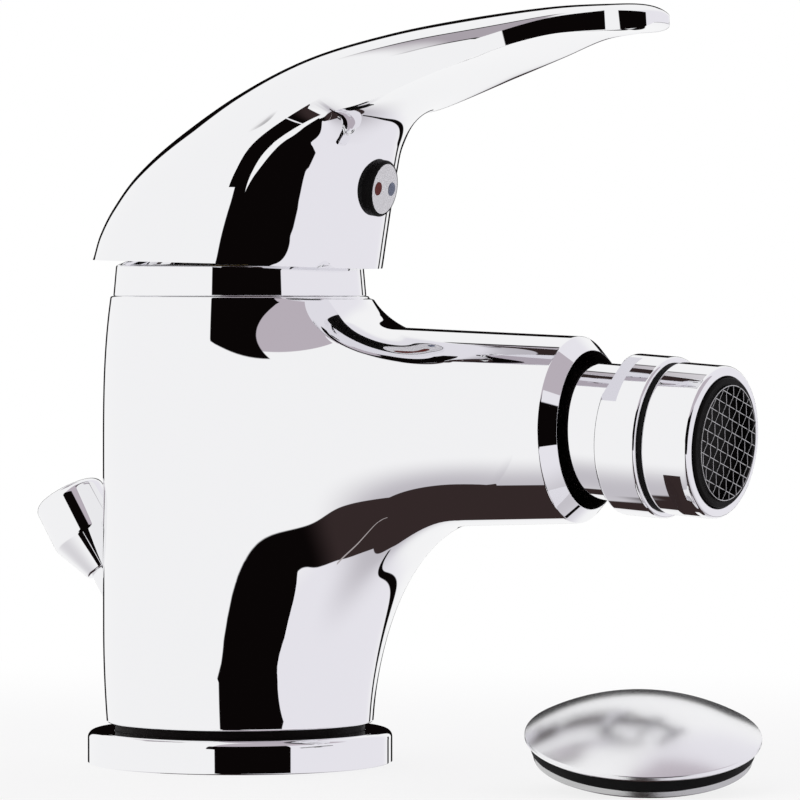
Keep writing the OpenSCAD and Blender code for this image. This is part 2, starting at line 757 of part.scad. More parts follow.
// Pop-up rod and its knob
module pull_rod() {
    color("gainsboro") along_rod() bar(rod_r, knob_side_len, rod_end);
}
module rod_knob() {
    color("gainsboro") along_rod() difference() {
        rotate_extrude()
            polygon([[0, 0], [knob_crown_r, knob_dome / 4], [knob_edge_r, knob_dome],
                     [knob_r, 2 * knob_dome], [knob_r, knob_side_len],
                     [knob_small_r, knob_len], [0, knob_len]]);
        bar(rod_r, knob_side_len, knob_len + cut);
    }
}

// Waste plug, standing by itself on its lower ring and stem
module plug_dome() {
    color("gainsboro") plug_frame() rotate_extrude() intersection() {
        translate([0, plug_crown + plug_rim_h - plug_dome_r]) circle(plug_dome_r);
        square([plug_r, plug_crown + plug_rim_h]);
    }
}
module plug_seal() {
    color("black") plug_frame() translate([0, 0, -plug_seal_h])
        ring(plug_stem_r, plug_ring_r + plug_seal_out, plug_seal_h);
}
module plug_stem() {
    color("silver") plug_frame() {
        translate([0, 0, -plug_under]) ring(plug_stem_r - plug_ring_grip, plug_ring_r, plug_ring_h);
        translate([0, 0, -plug_stem_len]) cylinder(r = plug_stem_r, h = plug_stem_len);
    }
}

body();
base_ring();
base_gasket();
cartridge_base();
cartridge_seals();
fixed_disc();
cartridge_housing();
cartridge_nut();
collar();
rod_bush();
ball_nipple();
nipple_seal();
rotor();
stem_pin();
moving_disc();
disc_carrier();
lever();
stem();
grub_screw();
index_plug();
hot_mark();
cold_mark();
ball_seal();
swivel_socket();
aerator_housing();
aerator_gasket();
aerator_insert();
aerator_screen();
pull_rod();
rod_knob();
plug_dome();
plug_seal();
plug_stem();
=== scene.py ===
import json
import math

import bpy
import numpy as np
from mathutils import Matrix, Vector


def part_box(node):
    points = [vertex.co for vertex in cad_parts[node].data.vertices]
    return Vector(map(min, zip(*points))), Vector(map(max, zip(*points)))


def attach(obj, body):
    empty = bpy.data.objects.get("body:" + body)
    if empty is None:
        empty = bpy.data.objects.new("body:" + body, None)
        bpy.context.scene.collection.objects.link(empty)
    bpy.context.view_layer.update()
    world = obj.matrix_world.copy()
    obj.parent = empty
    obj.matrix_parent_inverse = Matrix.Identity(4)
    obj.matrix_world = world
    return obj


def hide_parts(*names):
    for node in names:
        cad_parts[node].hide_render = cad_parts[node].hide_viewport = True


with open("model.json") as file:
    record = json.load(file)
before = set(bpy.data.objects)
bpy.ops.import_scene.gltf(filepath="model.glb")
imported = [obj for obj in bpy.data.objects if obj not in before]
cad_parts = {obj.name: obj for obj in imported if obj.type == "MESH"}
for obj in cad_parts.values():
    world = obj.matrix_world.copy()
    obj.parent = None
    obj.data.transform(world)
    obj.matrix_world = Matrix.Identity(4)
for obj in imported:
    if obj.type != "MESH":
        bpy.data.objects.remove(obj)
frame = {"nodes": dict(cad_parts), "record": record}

bl_info = {
    "name": "Bidet mixer",
    "version": (1, 0, 0),
    "blender": (4, 5, 0),
    "location": "3D View > Sidebar > Mixer",
    "description": "Chrome skins, finishes and a studio for a single-lever bidet mixer",
    "category": "Add Mesh",
}

MM = 0.001
BODY_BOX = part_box("body")
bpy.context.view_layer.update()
# How far the spout's skin runs on past the solid's end face, in millimetres
SPOUT_LONGER = 2.4
# Width of the picture, and where the column's axis meets the horizon in it
PICTURE_PX = 800
AXIS_PX = (240, 296)


def length(label, says, mm):
    """A length property in metres, with its default given in millimetres."""
    return bpy.props.FloatProperty(name=label, description=says, default=mm * MM, unit="LENGTH", precision=5)


def degrees(label, says, value):
    """An angle property, with its default given in degrees."""
    return bpy.props.FloatProperty(
        name=label, description=says, default=math.radians(value), unit="ROTATION")


def spread(label, says, ends):
    """A property that holds two angles, given in degrees."""
    return bpy.props.FloatVectorProperty(
        name=label, description=says, default=[math.radians(end) for end in ends], size=2, subtype="EULER")


def share(label, says, value, top=1.0):
    """A plain number property from nothing to a top value."""
    return bpy.props.FloatProperty(name=label, description=says, default=value, min=0.0, max=top)


def whole(label, says, value, least):
    """A whole number property with its least value."""
    return bpy.props.IntProperty(name=label, description=says, default=value, min=least)


def tint(label, says, rgb):
    """A colour property in linear light."""
    return bpy.props.FloatVectorProperty(
        name=label, description=says, default=rgb, subtype="COLOR", size=3, min=0, max=1)


class BodySizes(bpy.types.PropertyGroup):
    """Sizes of the column, its spout and the rings above and below it"""
    belly_r: length("Belly radius", "Radius of the column at its belly", 22.5)
    foot_z: length("Foot", "Height of the column's lower edge", 6.7)
    top_z: length("Top", "Height of the column's upper edge", 76.5)
    belly_low: length("Belly from", "Height under which the column draws in", 22)
    belly_high: length("Belly to", "Height over which the column draws in", 50)
    foot_draw: length("Foot draw", "How much the radius draws in at the foot", 0.6)
    top_draw: length("Top draw", "How much the radius draws in at the top", 1.3)
    spout_z: length("Spout height", "Height of the spout's axis", 55.3)
    reach: length("Spout reach", "Reach of the spout's end face", BODY_BOX[1].x / MM + SPOUT_LONGER)
    end_r: length("Spout radius", "Radius of the spout at its end", 14.75)
    taper: share("Spout taper", "Growth of the spout's radius for each unit towards the column", 0.04)
    blend_under: length("Blend under", "Reach of the blend under the spout, along the spout", 20)
    blend_drop: length("Blend drop", "Height of the blend under the spout, down the column", 31)
    blend_over: length("Blend over", "Blend radius over the spout", 8)
    blend_side: length("Blend at the sides", "Reach of the blend along the spout's sides", 38)
    blend_edge: share("Blend edge", "Share of the column's half width at which the side blend starts", 0.985)
    power_over: share("Power over", "Power of the superellipse at the blend's edge over the spout", 2.8, 9)
    power_under: share("Power under", "Power of the superellipse at the blend's edge under the spout", 6, 9)
    bevel: length("Bevel", "Bevel round the spout's end", 2.2)
    bevel_edge: length("Bevel's edge", "Rounding of the bevel's edges", 0.4)
    recess_r: length("Recess radius", "Radius of the recess in the spout's end", 12.5)
    recess_depth: length("Recess depth", "Depth of the recess in the spout's end", 13)
    recess_edge: length("Recess corner", "Rounding round the recess's floor", 0.4)
    recess_floor_r: length("Recess floor", "Inner radius of the recess's floor", 9.6)
    flare: length("Flare", "How far the recess opens at its mouth", 0.15)
    flare_depth: length("Flare depth", "Depth of the recess's flare", 0.3)
    face_gap: length("Face gap", "How far outside the recess the end face stops", 0.1)
    edge_r: length("Edge radius", "Rounding of the column's upper and lower edges", 0.35)
    ring_r: length("End rings", "Inner radius of the flat rings at the column's top and foot", 19.2)
    inside_depth: length("Inside depth", "Depth under the skin from which the solid's own faces show", 1.95)
    bore_from: length("Bores from", "Distance from the axis from which the spout's bores show", 15)
    base_r: length("Base radius", "Radius of the base ring", 25)
    base_h: length("Base height", "Height of the base ring", 5.4)
    base_edge: length("Base edge", "Rounding of the base ring's shoulder", 1.2)
    base_foot_edge: length("Base foot edge", "Rounding of the base ring's lower edge", 0.25)
    base_bore_r: length("Base bore", "Radius of the base ring's bore", 18)
    base_step_r: length("Base step", "Radius of the step inside the base ring", 20.6)
    base_step_z: length("Base step height", "Height of the step inside the base ring", 2)
    base_step_edge: length("Base step edge", "Rounding of the step's upper edge", 0.3)
    collar_h: length("Collar height", "Height of the collar's side", 5)
    collar_r: length("Collar radius", "Radius of the collar at its foot", 20.75)
    collar_draw: length("Collar draw", "How much the collar draws in at its top", 0.45)
    collar_wall: length("Collar wall", "Thickness of the collar's side", 2)
    collar_roof: length("Collar roof", "Thickness of the collar's roof", 1.2)
    collar_dome_h: length("Collar dome", "Height of the collar's roof over its side", 2.1)
    collar_dome_r: length("Collar dome radius", "Radius at which the collar's roof turns level", 15.2)
    collar_bore_r: length("Collar bore", "Radius of the collar's bore", 14.2)
    collar_foot_edge: length("Collar foot edge", "Rounding of the collar's lower edge", 0.15)
    collar_side_edge: length("Collar side edge", "Rounding between the collar's side and roof", 0.5)
    collar_top_edge: length("Collar top edge", "Rounding where the collar's roof turns level", 0.4)


class LeverSizes(bpy.types.PropertyGroup):
    """Sizes of the handle"""
    reach: length("Reach", "Reach of the lever's tip from the column's axis", 76.6)
    tip_end: share("Tip end", "Width of the tip's end as a share of the last station's", 0.25)
    tip_taper: share("Tip taper", "How far the tip narrows towards its end", 0.25)
    tip_z: length("Tip height", "Height of the tip's middle above the column's top", 43.7)
    rows: whole("Rows", "Rows of points between two stations", 14, 2)
    half: whole("Half ring", "Points along half a ring", 88, 8)
    shell_bulge: share("Shell bulge", "How far the shell bulges past an ellipse at the rim", 0.36)
    shell_rake: degrees("Shell rake", "Angle at which the shell meets its crease towards the tip", 24)
    neck_draw: share("Neck draw", "How far the neck draws in from an ellipse at the rim", 0.25)
    sculpt_end: share("Sculpt end", "Station at which bulge and draw have faded", 5, 10)
    under_start: degrees("Underside start", "Angle past the lower edge at which the underside starts", 4)
    index_r: length("Index radius", "Radius of the index plug", 4.6)
    index_proud: length("Index proud", "How far the index plug stands out", 1.3)
    index_x: length("Index place", "Distance of the plug's seat from the column's axis", 25.75)
    index_z: length("Index height", "Height of the plug above the column's top", 17.5)
    index_lean: degrees("Index lean", "How far the plug looks down", 9)
    index_edge: length("Index edge", "Rounding of the plug's edge", 0.5)
    index_depth: length("Index depth", "How deep the plug's side runs into the handle", 4)
    mark_r: length("Mark radius", "Radius of the hot and cold marks", 1.1)
    mark_spread: length("Mark spread", "Distance of each mark from the plug's middle", 2.25)
    mark_proud: length("Mark proud", "How far a mark stands out of the plug's face", 0.1)
    mark_depth: length("Mark depth", "How deep a mark runs into the plug", 0.4)
    mark_edge: length("Mark edge", "Rounding of a mark's edge", 0.08)


class OutletSizes(bpy.types.PropertyGroup):
    """Sizes of the ball-jointed outlet, along its own axis from the ball's centre"""
    ball_x: length("Ball place", "Distance of the ball's centre from the column's axis", 64)
    tilt: degrees("Tilt", "Resting tilt below level", 4)
    pan: degrees("Turn", "Resting turn to the hot side", 3)
    neck_r: length("Neck radius", "Radius of the neck", 10.8)
    neck_back: length("Neck back", "Distance of the neck's back end behind the ball's centre", 6.4)
    ring_1_r: length("First ring", "Radius of the first ring", 12.75)
    ring_1_from: length("First ring from", "Start of the first ring", 7.6)
    ring_1_to: length("First ring to", "End of the first ring", 15)
    ring_2_r: length("Second ring", "Radius of the second ring", 12)
    ring_2_from: length("Second ring from", "Start of the second ring", 15.6)
    ring_2_to: length("Second ring to", "End of the second ring", 24)
    flat_depth: length("Flat depth", "Depth of the wrench flats", 1.1)
    flat_len: length("Flat length", "Length of the wrench flats along the outlet", 3)
    rim: length("Rim", "Rim between the second ring's flats and its end", 1.6)
    gasket_r: length("Gasket radius", "Radius of the gasket between the rings", 11.8)
    insert_r: length("Insert radius", "Radius of the black insert", 10.2)
    insert_proud: length("Insert proud", "How far the black insert stands out of the second ring", 0.4)
    screen_r: length("Screen radius", "Radius of the wire screen", 9)
    screen_proud: length("Screen proud", "How far the wire screen stands out of the second ring", 0.8)
    screen_pitch: length("Screen pitch", "Distance between wires", 1.8)
    wire_r: length("Wire radius", "Radius of one wire", 0.08)
    screen_roll: degrees("Screen roll", "Turn of the weave about the outlet's axis", 74)
    bore_r: length("Bore radius", "Radius of the bore through both rings", 9)
    bore_back: length("Bore back", "Start of the bore's wall behind the ball's centre", 4)
    neck_edge: length("Neck edge", "Rounding of the neck's back edge", 0.9)
    ring_edge: length("Ring edge", "Rounding of the rings' side edges", 0.6)
    face_edge: length("Face edge", "Rounding of the second ring's front edge", 0.8)
    lip_edge: length("Lip edge", "Rounding of the second ring's lip round the insert", 0.5)
    flat_turn: degrees("Flats' turn", "Turn of the wrench flats from level, opposite on the two rings", 50)
    insert_ledge: length("Insert ledge", "Length of the second ring behind the insert's bore", 2)
    insert_depth: length("Insert depth", "Depth of the insert behind the second ring's face", 2)
    insert_edge: length("Insert edge", "Rounding of the insert's edges", 0.3)


class RodSizes(bpy.types.PropertyGroup):
    """Sizes of the pop-up rod and its knob, along the rod from the knob's top"""
    top_x: length("Knob place", "Distance of the knob's top from the column's axis", -33.5)
    top_z: length("Knob height", "Height of the knob's top", 43.9)
    lean: degrees("Lean", "Lean of the rod from upright", 31)
    rod_r: length("Rod radius", "Radius of the rod", 2.5)
    rod_end: length("Rod end", "Length of the rod from the knob's top", 49)
    knob_r: length("Knob radius", "Radius of the knob", 6)
    knob_side: length("Knob side", "End of the knob's straight side", 8.6)
    knob_len: length("Knob length", "Length of the knob", 15)
    knob_small_r: length("Knob foot radius", "Radius of the knob's narrow end", 3.3)
    knob_crown: length("Knob crown", "Height of the knob's slightly coned top", 0.4)
    knob_top_edge: length("Knob top edge", "Rounding of the knob's top edge", 1.4)
    knob_waist_edge: length("Knob waist edge", "Rounding where the knob starts to narrow", 1.2)
    knob_foot_edge: length("Knob foot edge", "Rounding of the knob's narrow end", 0.5)
    rod_edge: length("Rod edge", "Rounding of the rod's lower end", 0.4)


class PlugSizes(bpy.types.PropertyGroup):
    """Sizes of the loose waste plug"""
    place: bpy.props.FloatVectorProperty(
        name="Place", description="Where the plug stands", default=(79.5 * MM, -12.8 * MM), size=2,
        unit="LENGTH")
    turn: degrees("Turn", "Way that the plug leans", -60)
    lean: degrees("Lean", "Lean of the plug", 16)
    dome_r: length("Dome radius", "Radius of the dome's rim", 18.4)
    crown: length("Crown", "Height of the dome over its rim", 5.2)
    rim_h: length("Rim height", "Height of the rim", 0.8)
    seal_h: length("Seal height", "Height of the rubber seal", 2)
    seal_r: length("Seal radius", "Radius of the rubber seal", 17.4)
    ring_h: length("Ring height", "Height of the lower ring", 1.2)
    ring_r: length("Ring radius", "Radius of the lower ring", 17)
    stem_r: length("Stem radius", "Radius of the short stem", 4)
    edge: length("Edge", "Rounding of the dome's rim and of the ring and stem", 0.3)
    seal_edge: length("Seal edge", "Rounding of the seal's edges", 0.4)
    ring_top_edge: length("Ring top edge", "Rounding of the ring's upper edge", 0.2)
    rim_break: degrees("Rim break", "Angle by which the crown stops short of the rim", 0.68755)


class Finishes(bpy.types.PropertyGroup):
    """Colours of the finishes"""
    chrome: tint("Chrome", "Polished plate", (0.93, 0.93, 0.94))
    # Near-black: painted shade inside the spout's recess and the casting's bores, over the darker unplated
    # metal
    bore: tint("Bore", "Unplated, shaded metal inside the spout", (0.012, 0.009, 0.009))
    rubber: tint("Rubber", "Seals and gaskets", (0.018, 0.018, 0.018))
    ceramic: tint("Ceramic", "Cartridge discs", (0.88, 0.87, 0.84))
    cartridge: tint("Cartridge plastic", "Cartridge shell and bushes", (0.78, 0.77, 0.73))
    rotor: tint("Rotor plastic", "Turning cartridge pieces", (0.45, 0.46, 0.48))
    brass: tint("Brass", "Nut, nipple and stem", (0.72, 0.52, 0.24))
    steel: tint("Steel", "Pins, screws and wires", (0.58, 0.58, 0.58))
    plug: tint("Index plug", "Plug in the handle's front", (0.93, 0.93, 0.94))
    hot: tint("Hot", "Hot mark", (0.17, 0.03, 0.025))
    cold: tint("Cold", "Cold mark", (0.24, 0.27, 0.36))
    # Real black of the insert; the same colour also paints the shade of the gap round the index plug, on the
    # plug's side
    insert: tint("Insert", "Black plastic of the outlet's insert", (0.010, 0.009, 0.009))


class StageSizes(bpy.types.PropertyGroup):
    """Camera and studio"""
    azimuth: degrees("Azimuth", "Side from which the camera looks", 30)
    distance: length("Distance", "Distance of the camera", 870)
    height: length("Height", "Height of the camera", 76.5)
    focal: share("Focal length", "Focal length in picture widths", 6.625, 50)
    axis_at: bpy.props.FloatVectorProperty(
        name="Axis in the picture", default=[place / PICTURE_PX for place in AXIS_PX], size=2,
        description="Where the column's axis meets the horizon, in shares of the picture")
    floor: tint("Floor", "Colour of the floor", (0.92, 0.92, 0.92))
    floor_size: length("Floor size", "Width of the floor", 8000)
    floor_rough: share("Floor roughness", "Roughness of the floor", 0.9)
    shadow_near: length("Shadow core", "Distance from the axis up to which the shadow is at its deepest", 60)
    shadow_far: length("Shadow end", "Distance from the axis at which the shadow has faded", 250)
    shadow_glow: share("Shadow glow", "Share of plain white in the floor where the shadow is deepest", 0.8)
    wall: tint("Walls", "Colour of the studio's light walls", (0.95, 0.95, 0.955))
    right_wall: tint("Right wall", "Colour of the wall at the spout's end", (0.84, 0.825, 0.875))
    right_span: spread("Right wall's span", "Bearings from the camera that the right wall fills", (10, 135))
    right_soft: degrees("Right wall's softness", "Softness of the right wall's borders", 20)
    shade: tint("Shade", "Colour of the walls' shaded foot", (0.55, 0.53, 0.57))
    shade_span: spread("Shade's span", "Heights over which the walls turn to shade", (-28, -60))
    ground: tint("Ground", "Colour of the dark ground under the part", (0.035, 0.023, 0.023))
    corner_half: degrees("Far corner", "Half the width of the dark strip in the studio's far corner", 2)
    corner_rise: spread("Far corner's rise", "Heights that the far corner's strip fills", (-56, 4))
    seam: tint("Seam", "Colour of the thin seam on the dark side", (0.42, 0.38, 0.38))
    seam_half: degrees("Seam's width", "Half the width of the thin seam on the dark side", 0.5)
    seam_rise: spread("Seam's rise", "Heights over which the seam runs", (-74, -37))
    dark_foot: spread("Dark foot", "Heights over which the dark side takes the ground's colour", (-24, -40))
    panel: tint("Dark panel", "Colour of the studio's dark side, behind the camera", (0.003, 0.002, 0.002))
    panel_top: degrees("Panel's top", "Height up to which the dark side reaches", 33)
    back_span: spread("Back panel's span", "Bearings of the panel behind the part", (162, 198))
    back_rise: spread("Back panel's rise", "Heights that the panel behind the part fills", (-6, 22))
    board: tint("Board", "Colour of the grey board over the dark panel", (0.50, 0.45, 0.50))
    board_span: spread("Board's span", "Bearings from the camera that the grey board fills", (-22, 100))
    board_rise: spread("Board's rise", "Heights that the grey board fills", (33, 84))
    gap: tint("Gap", "Colour of the gap between the lamps over the part", (0.42, 0.38, 0.42))
    gap_span: spread("Gap's span", "Way from straight above towards the back that the gap fills", (0, 31))
    gap_line: degrees("Gap's line", "Half the width of the dark lines along the gap", 1.8)
    soft: degrees("Softness", "Softness of the panels' borders", 0.6)


# Surfaces: grids of points with index triangles

# Distance of an outline's support point from its arc, as a share of the arc's radius
SUPPORT = 0.08
# Points round a turned piece: a usual one, a wide one, one with flats, the rod and a mark
TURNS, WIDE_TURNS, FLAT_TURNS, ROD_TURNS, MARK_TURNS = 192, 320, 240, 64, 48


def grid(points, wrap=False, flip=False):
    """Triangles of a grid of points [row, column]. They face along column cross row, or against it."""
    rows, cols = points.shape[:2]
    row = np.arange(rows - 1)[:, None]
    col = np.arange(cols if wrap else cols - 1)[None, :]
    a = row * cols + col
    b = row * cols + (col + 1) % cols
    quads = np.stack([a, b, b + cols, a + cols], -1).reshape(-1, 4)
    faces = np.concatenate([quads[:, [0, 1, 2]], quads[:, [0, 2, 3]]])
    return points.reshape(-1, 3), faces[:, ::-1] if flip else faces


def weld(sheets, near=2e-7):
    """One mesh of several sheets, with points that meet made one and flat triangles dropped."""
    starts = np.cumsum([0] + [len(p) for p, _ in sheets[:-1]])
    points = np.concatenate([p for p, _ in sheets])
    faces = np.concatenate([f + s for (_, f), s in zip(sheets, starts)])
    cells = np.round(points / near).astype(np.int64)
    _, first, back = np.unique(cells, axis=0, return_index=True, return_inverse=True)
    faces = back.reshape(-1)[faces]
    kept = (faces[:, 0] != faces[:, 1]) & (faces[:, 1] != faces[:, 2]) & (faces[:, 2] != faces[:, 0])
    return points[first], faces[kept]


def rounded(corners, steps=8):
    """Open outline through [r, z, rounding] corners: straight runs, and an arc at each corner.

    Beside each arc stands a support point, so that the straight runs stay flat in the reflections.
    """
    corners = np.array(corners, float)
    out = [corners[:1, :2]]
    for before, (x, y, radius), after in zip(corners[:-2], corners[1:-1], corners[2:]):
        if radius == 0:
            out.append([[x, y]])
            continue
        back = before[:2] - (x, y)
        ahead = after[:2] - (x, y)
        back /= np.linalg.norm(back)
        ahead /= np.linalg.norm(ahead)
        half = math.acos(np.clip(back @ ahead, -1, 1)) / 2
        middle = (x, y) + (back + ahead) / np.linalg.norm(back + ahead) * radius / math.sin(half)
        reach = radius / math.tan(half)
        first = (x, y) + back * reach - middle
        last = (x, y) + ahead * reach - middle
        sweep = math.atan2(first[0] * last[1] - first[1] * last[0], first @ last)
        turn = math.atan2(first[1], first[0]) + sweep * np.linspace(0, 1, steps + 1)
        arc = middle + radius * np.stack([np.cos(turn), np.sin(turn)], -1)
        out += [(arc[0] + back * radius * SUPPORT)[None], arc, (arc[-1] + ahead * radius * SUPPORT)[None]]
    return np.concatenate(out + [corners[-1:, :2]])


def revolved(outline, turns=TURNS):
    """Surface of revolution: each [r, z] of the outline goes round the Z axis. Upward runs face outwards."""
    angle = np.arange(turns) * 2 * np.pi / turns
    r, z = outline[:, 0, None], outline[:, 1, None]
    return grid(np.stack([r * np.cos(angle), r * np.sin(angle), z + 0 * angle], -1), wrap=True)


def turned(x, y, z):
    """Rotation matrix: about X, then Y, then Z."""
    cx, sx, cy, sy, cz, sz = math.cos(x), math.sin(x), math.cos(y), math.sin(y), math.cos(z), math.sin(z)
    about_x = np.array([[1, 0, 0], [0, cx, -sx], [0, sx, cx]])
    about_y = np.array([[cy, 0, sy], [0, 1, 0], [-sy, 0, cy]])
    about_z = np.array([[cz, -sz, 0], [sz, cz, 0], [0, 0, 1]])
    return about_z @ about_y @ about_x


def placed(sheet, rotation, place):
    """A sheet turned by a rotation matrix and moved to its place."""
    points, faces = sheet
    return points @ rotation.T + np.array(place), faces


def add_piece(name, sheets, material, body, node, crease=24):
    """Puts sheets into one smooth mesh, with edges past the crease angle sharp, and seats it on its body.

    The piece takes the place of a node. Its one material slot holds the finish named for its material.
    """
    points, faces = weld(sheets)
    mesh = bpy.data.meshes.new(name)
    mesh.vertices.add(len(points))
    mesh.vertices.foreach_set("co", points.astype(np.float32).ravel())
    mesh.loops.add(faces.size)
    mesh.loops.foreach_set("vertex_index", faces.astype(np.int32).ravel())
    mesh.polygons.add(len(faces))
    mesh.polygons.foreach_set("loop_start", np.arange(0, faces.size, 3, dtype=np.int32))
    mesh.polygons.foreach_set("use_smooth", np.ones(len(faces), bool))
    mesh.update(calc_edges=True)
    mesh.set_sharp_from_angle(angle=math.radians(crease))
    mesh.materials.append(finish(material))
    piece = bpy.data.objects.new(name, mesh)
    bpy.context.collection.objects.link(piece)
    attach(piece, body)
    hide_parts(node)


# Shader nodes

class Nodes:
    """Short ways to add nodes to a shader tree."""

    def __init__(self, tree):
        self.tree = tree

    def add(self, kind, **settings):
        """A new node with its settings."""
        node = self.tree.nodes.new(kind)
        for name, value in settings.items():
            setattr(node, name, value)
        return node

    def feed(self, socket, value):
        """Links another node's output to a socket, or sets the socket's own value."""
        if isinstance(value, bpy.types.NodeSocket):
            self.tree.links.new(value, socket)
        else:
            socket.default_value = value

    def fill(self, node, values):
        """Feeds a node's sockets by their names."""
        for label, value in values.items():
            self.feed(node.inputs[label], value)
        return node

    def math(self, operation, *values):
        """The result of a sum or function of one to three values."""
        node = self.add("ShaderNodeMath", operation=operation)
        for socket, value in zip(node.inputs, values):
            self.feed(socket, value)
        return node.outputs[0]

    def ramp(self, value, outside, inside):
        """1 past the inside value and 0 past the outside one, with a smooth step between them."""
        node = self.add("ShaderNodeMapRange", interpolation_type="SMOOTHSTEP")
        return self.fill(node, {"Value": value, "From Min": outside, "From Max": inside}).outputs[0]

    def both(self, first, second):
        """Where two masks overlap."""
        return self.math("MULTIPLY", first, second)

    def band(self, value, span, soft):
        """1 between the span's two ends and 0 beyond them, with soft borders outside."""
        start, end = span
        return self.both(self.ramp(value, start - soft, start), self.ramp(value, end + soft, end))

    def curve(self, value, points):
        """A smooth curve through points of (value, result), level before the first and after the last."""
        first, last = points[0][0], points[-1][0]
        low, high = min(p[1] for p in points), max(p[1] for p in points)
        scaled = self.add("ShaderNodeMapRange")
        self.fill(scaled, {"Value": value, "From Min": first, "From Max": last})
        node = self.fill(self.add("ShaderNodeFloatCurve"), {"Value": scaled.outputs[0]})
        line = node.mapping.curves[0]
        for _ in points[1:-1]:
            line.points.new(0.5, 0.5)
        for knot, (given, result) in zip(line.points, points):
            knot.location = (given - first) / (last - first), (result - low) / (high - low)
            knot.handle_type = "AUTO_CLAMPED"
        node.mapping.update()
        return self.math("MULTIPLY_ADD", node.outputs[0], high - low, low)

    def mix(self, factor, first, second):
        """Two colours mixed by a factor. The node's seventh and eighth socket take colours."""
        node = self.add("ShaderNodeMix", data_type="RGBA")
        for socket, value in zip((node.inputs[0], node.inputs[6], node.inputs[7]), (factor, first, second)):
            self.feed(socket, value)
        return node.outputs[2]


# Finishes

def surface_group():
    """Node group that breaks up a finish: cloudy tone, roughness between two values and a height for a bump.

    Two noises in object space, a broad one for tone and a fine one for grain, both stretched by Stretch.
    """
    name = "Worn surface"
    if name in bpy.data.node_groups:
        return bpy.data.node_groups[name]
    tree = bpy.data.node_groups.new(name, "ShaderNodeTree")
    sockets = {
        "INPUT": {"Light": "Color", "Dark": "Color", "Broad scale": "Float", "Grain scale": "Float",
                  "Stretch": "Vector", "Roughness from": "Float", "Roughness to": "Float"},
        "OUTPUT": {"Color": "Color", "Roughness": "Float", "Height": "Float"},
    }
    for way, kinds in sockets.items():
        for label, kind in kinds.items():
            tree.interface.new_socket(name=label, in_out=way, socket_type="NodeSocket" + kind)
    n = Nodes(tree)
    given = n.add("NodeGroupInput").outputs
    result = n.add("NodeGroupOutput").inputs
    stretch = n.add("ShaderNodeVectorMath", operation="MULTIPLY")
    n.feed(stretch.inputs[0], n.add("ShaderNodeTexCoord").outputs["Object"])
    n.feed(stretch.inputs[1], given["Stretch"])
    noises = []
    for scale, detail in (("Broad scale", 3), ("Grain scale", 4)):
        noise = n.add("ShaderNodeTexNoise")
        n.fill(noise, {"Vector": stretch.outputs[0], "Scale": given[scale], "Detail": detail})
        noises.append(noise.outputs["Fac"])
    broad, grain = noises
    rough = n.add("ShaderNodeMapRange")
    n.fill(rough, {"Value": broad, "From Min": CLOUDS[0], "From Max": CLOUDS[1],
                   "To Min": given["Roughness from"], "To Max": given["Roughness to"]})
    n.feed(result["Color"], n.mix(broad, given["Light"], given["Dark"]))
    n.feed(result["Roughness"], rough.outputs[0])
    n.feed(result["Height"], grain)
    return tree


# Mirror strength of rubber and bare plastic, and of a glossy surface
DULL, GLOSSY = 0.05, 0.5
# Noise values between which a finish goes from its lowest to its highest roughness
CLOUDS = (0.3, 0.7)
COAT_ROUGHNESS = 0.05
BUMP_HEIGHT = 0.1 * MM
# Each finish: colour, how dark its clouds go, broad and grain scale, stretch, roughness, metal, bump, coat
FINISHES = {
    "chrome": ("chrome", 0.985, 18, 90, (1, 1, 1), (0.006, 0.016), 1, 0.0, 0),
    "satin_chrome": ("chrome", 0.97, 60, 900, (1, 1, 1), (0.2, 0.26), 1, 0.0, 0),
    # The bore finish is painted shade in the hollows, over the darker unplated metal
    "bore": ("bore", 0.5, 120, 900, (1, 1, 1), (0.35, 0.6), 0, 0.15, 0),
    "black_rubber": ("rubber", 0.6, 150, 2500, (1, 1, 1), (0.45, 0.65), 0, 0.2, 0),
    "ceramic": ("ceramic", 0.95, 90, 3000, (1, 1, 1), (0.08, 0.16), 0, 0.02, 0.3),
    "cartridge_plastic": ("cartridge", 0.92, 120, 2600, (1, 1, 1), (0.35, 0.5), 0, 0.12, 0),
    "rotor_plastic": ("rotor", 0.9, 120, 2600, (1, 1, 1), (0.35, 0.5), 0, 0.12, 0),
    "brass": ("brass", 0.8, 60, 1800, (1, 1, 12), (0.18, 0.32), 1, 0.08, 0),
    "steel": ("steel", 0.85, 90, 2400, (1, 1, 10), (0.16, 0.3), 1, 0.06, 0),
    "plug_white": ("plug", 0.97, 200, 3000, (1, 1, 1), (0.06, 0.12), 0, 0.0, 0.6),
    "hot_red": ("hot", 0.8, 400, 4000, (1, 1, 1), (0.3, 0.45), 0, 0.0, 0),
    "cold_blue": ("cold", 0.8, 400, 4000, (1, 1, 1), (0.3, 0.45), 0, 0.0, 0),
    "black_plastic": ("insert", 0.6, 150, 2600, (1, 1, 1), (0.4, 0.55), 0, 0.1, 0),
}


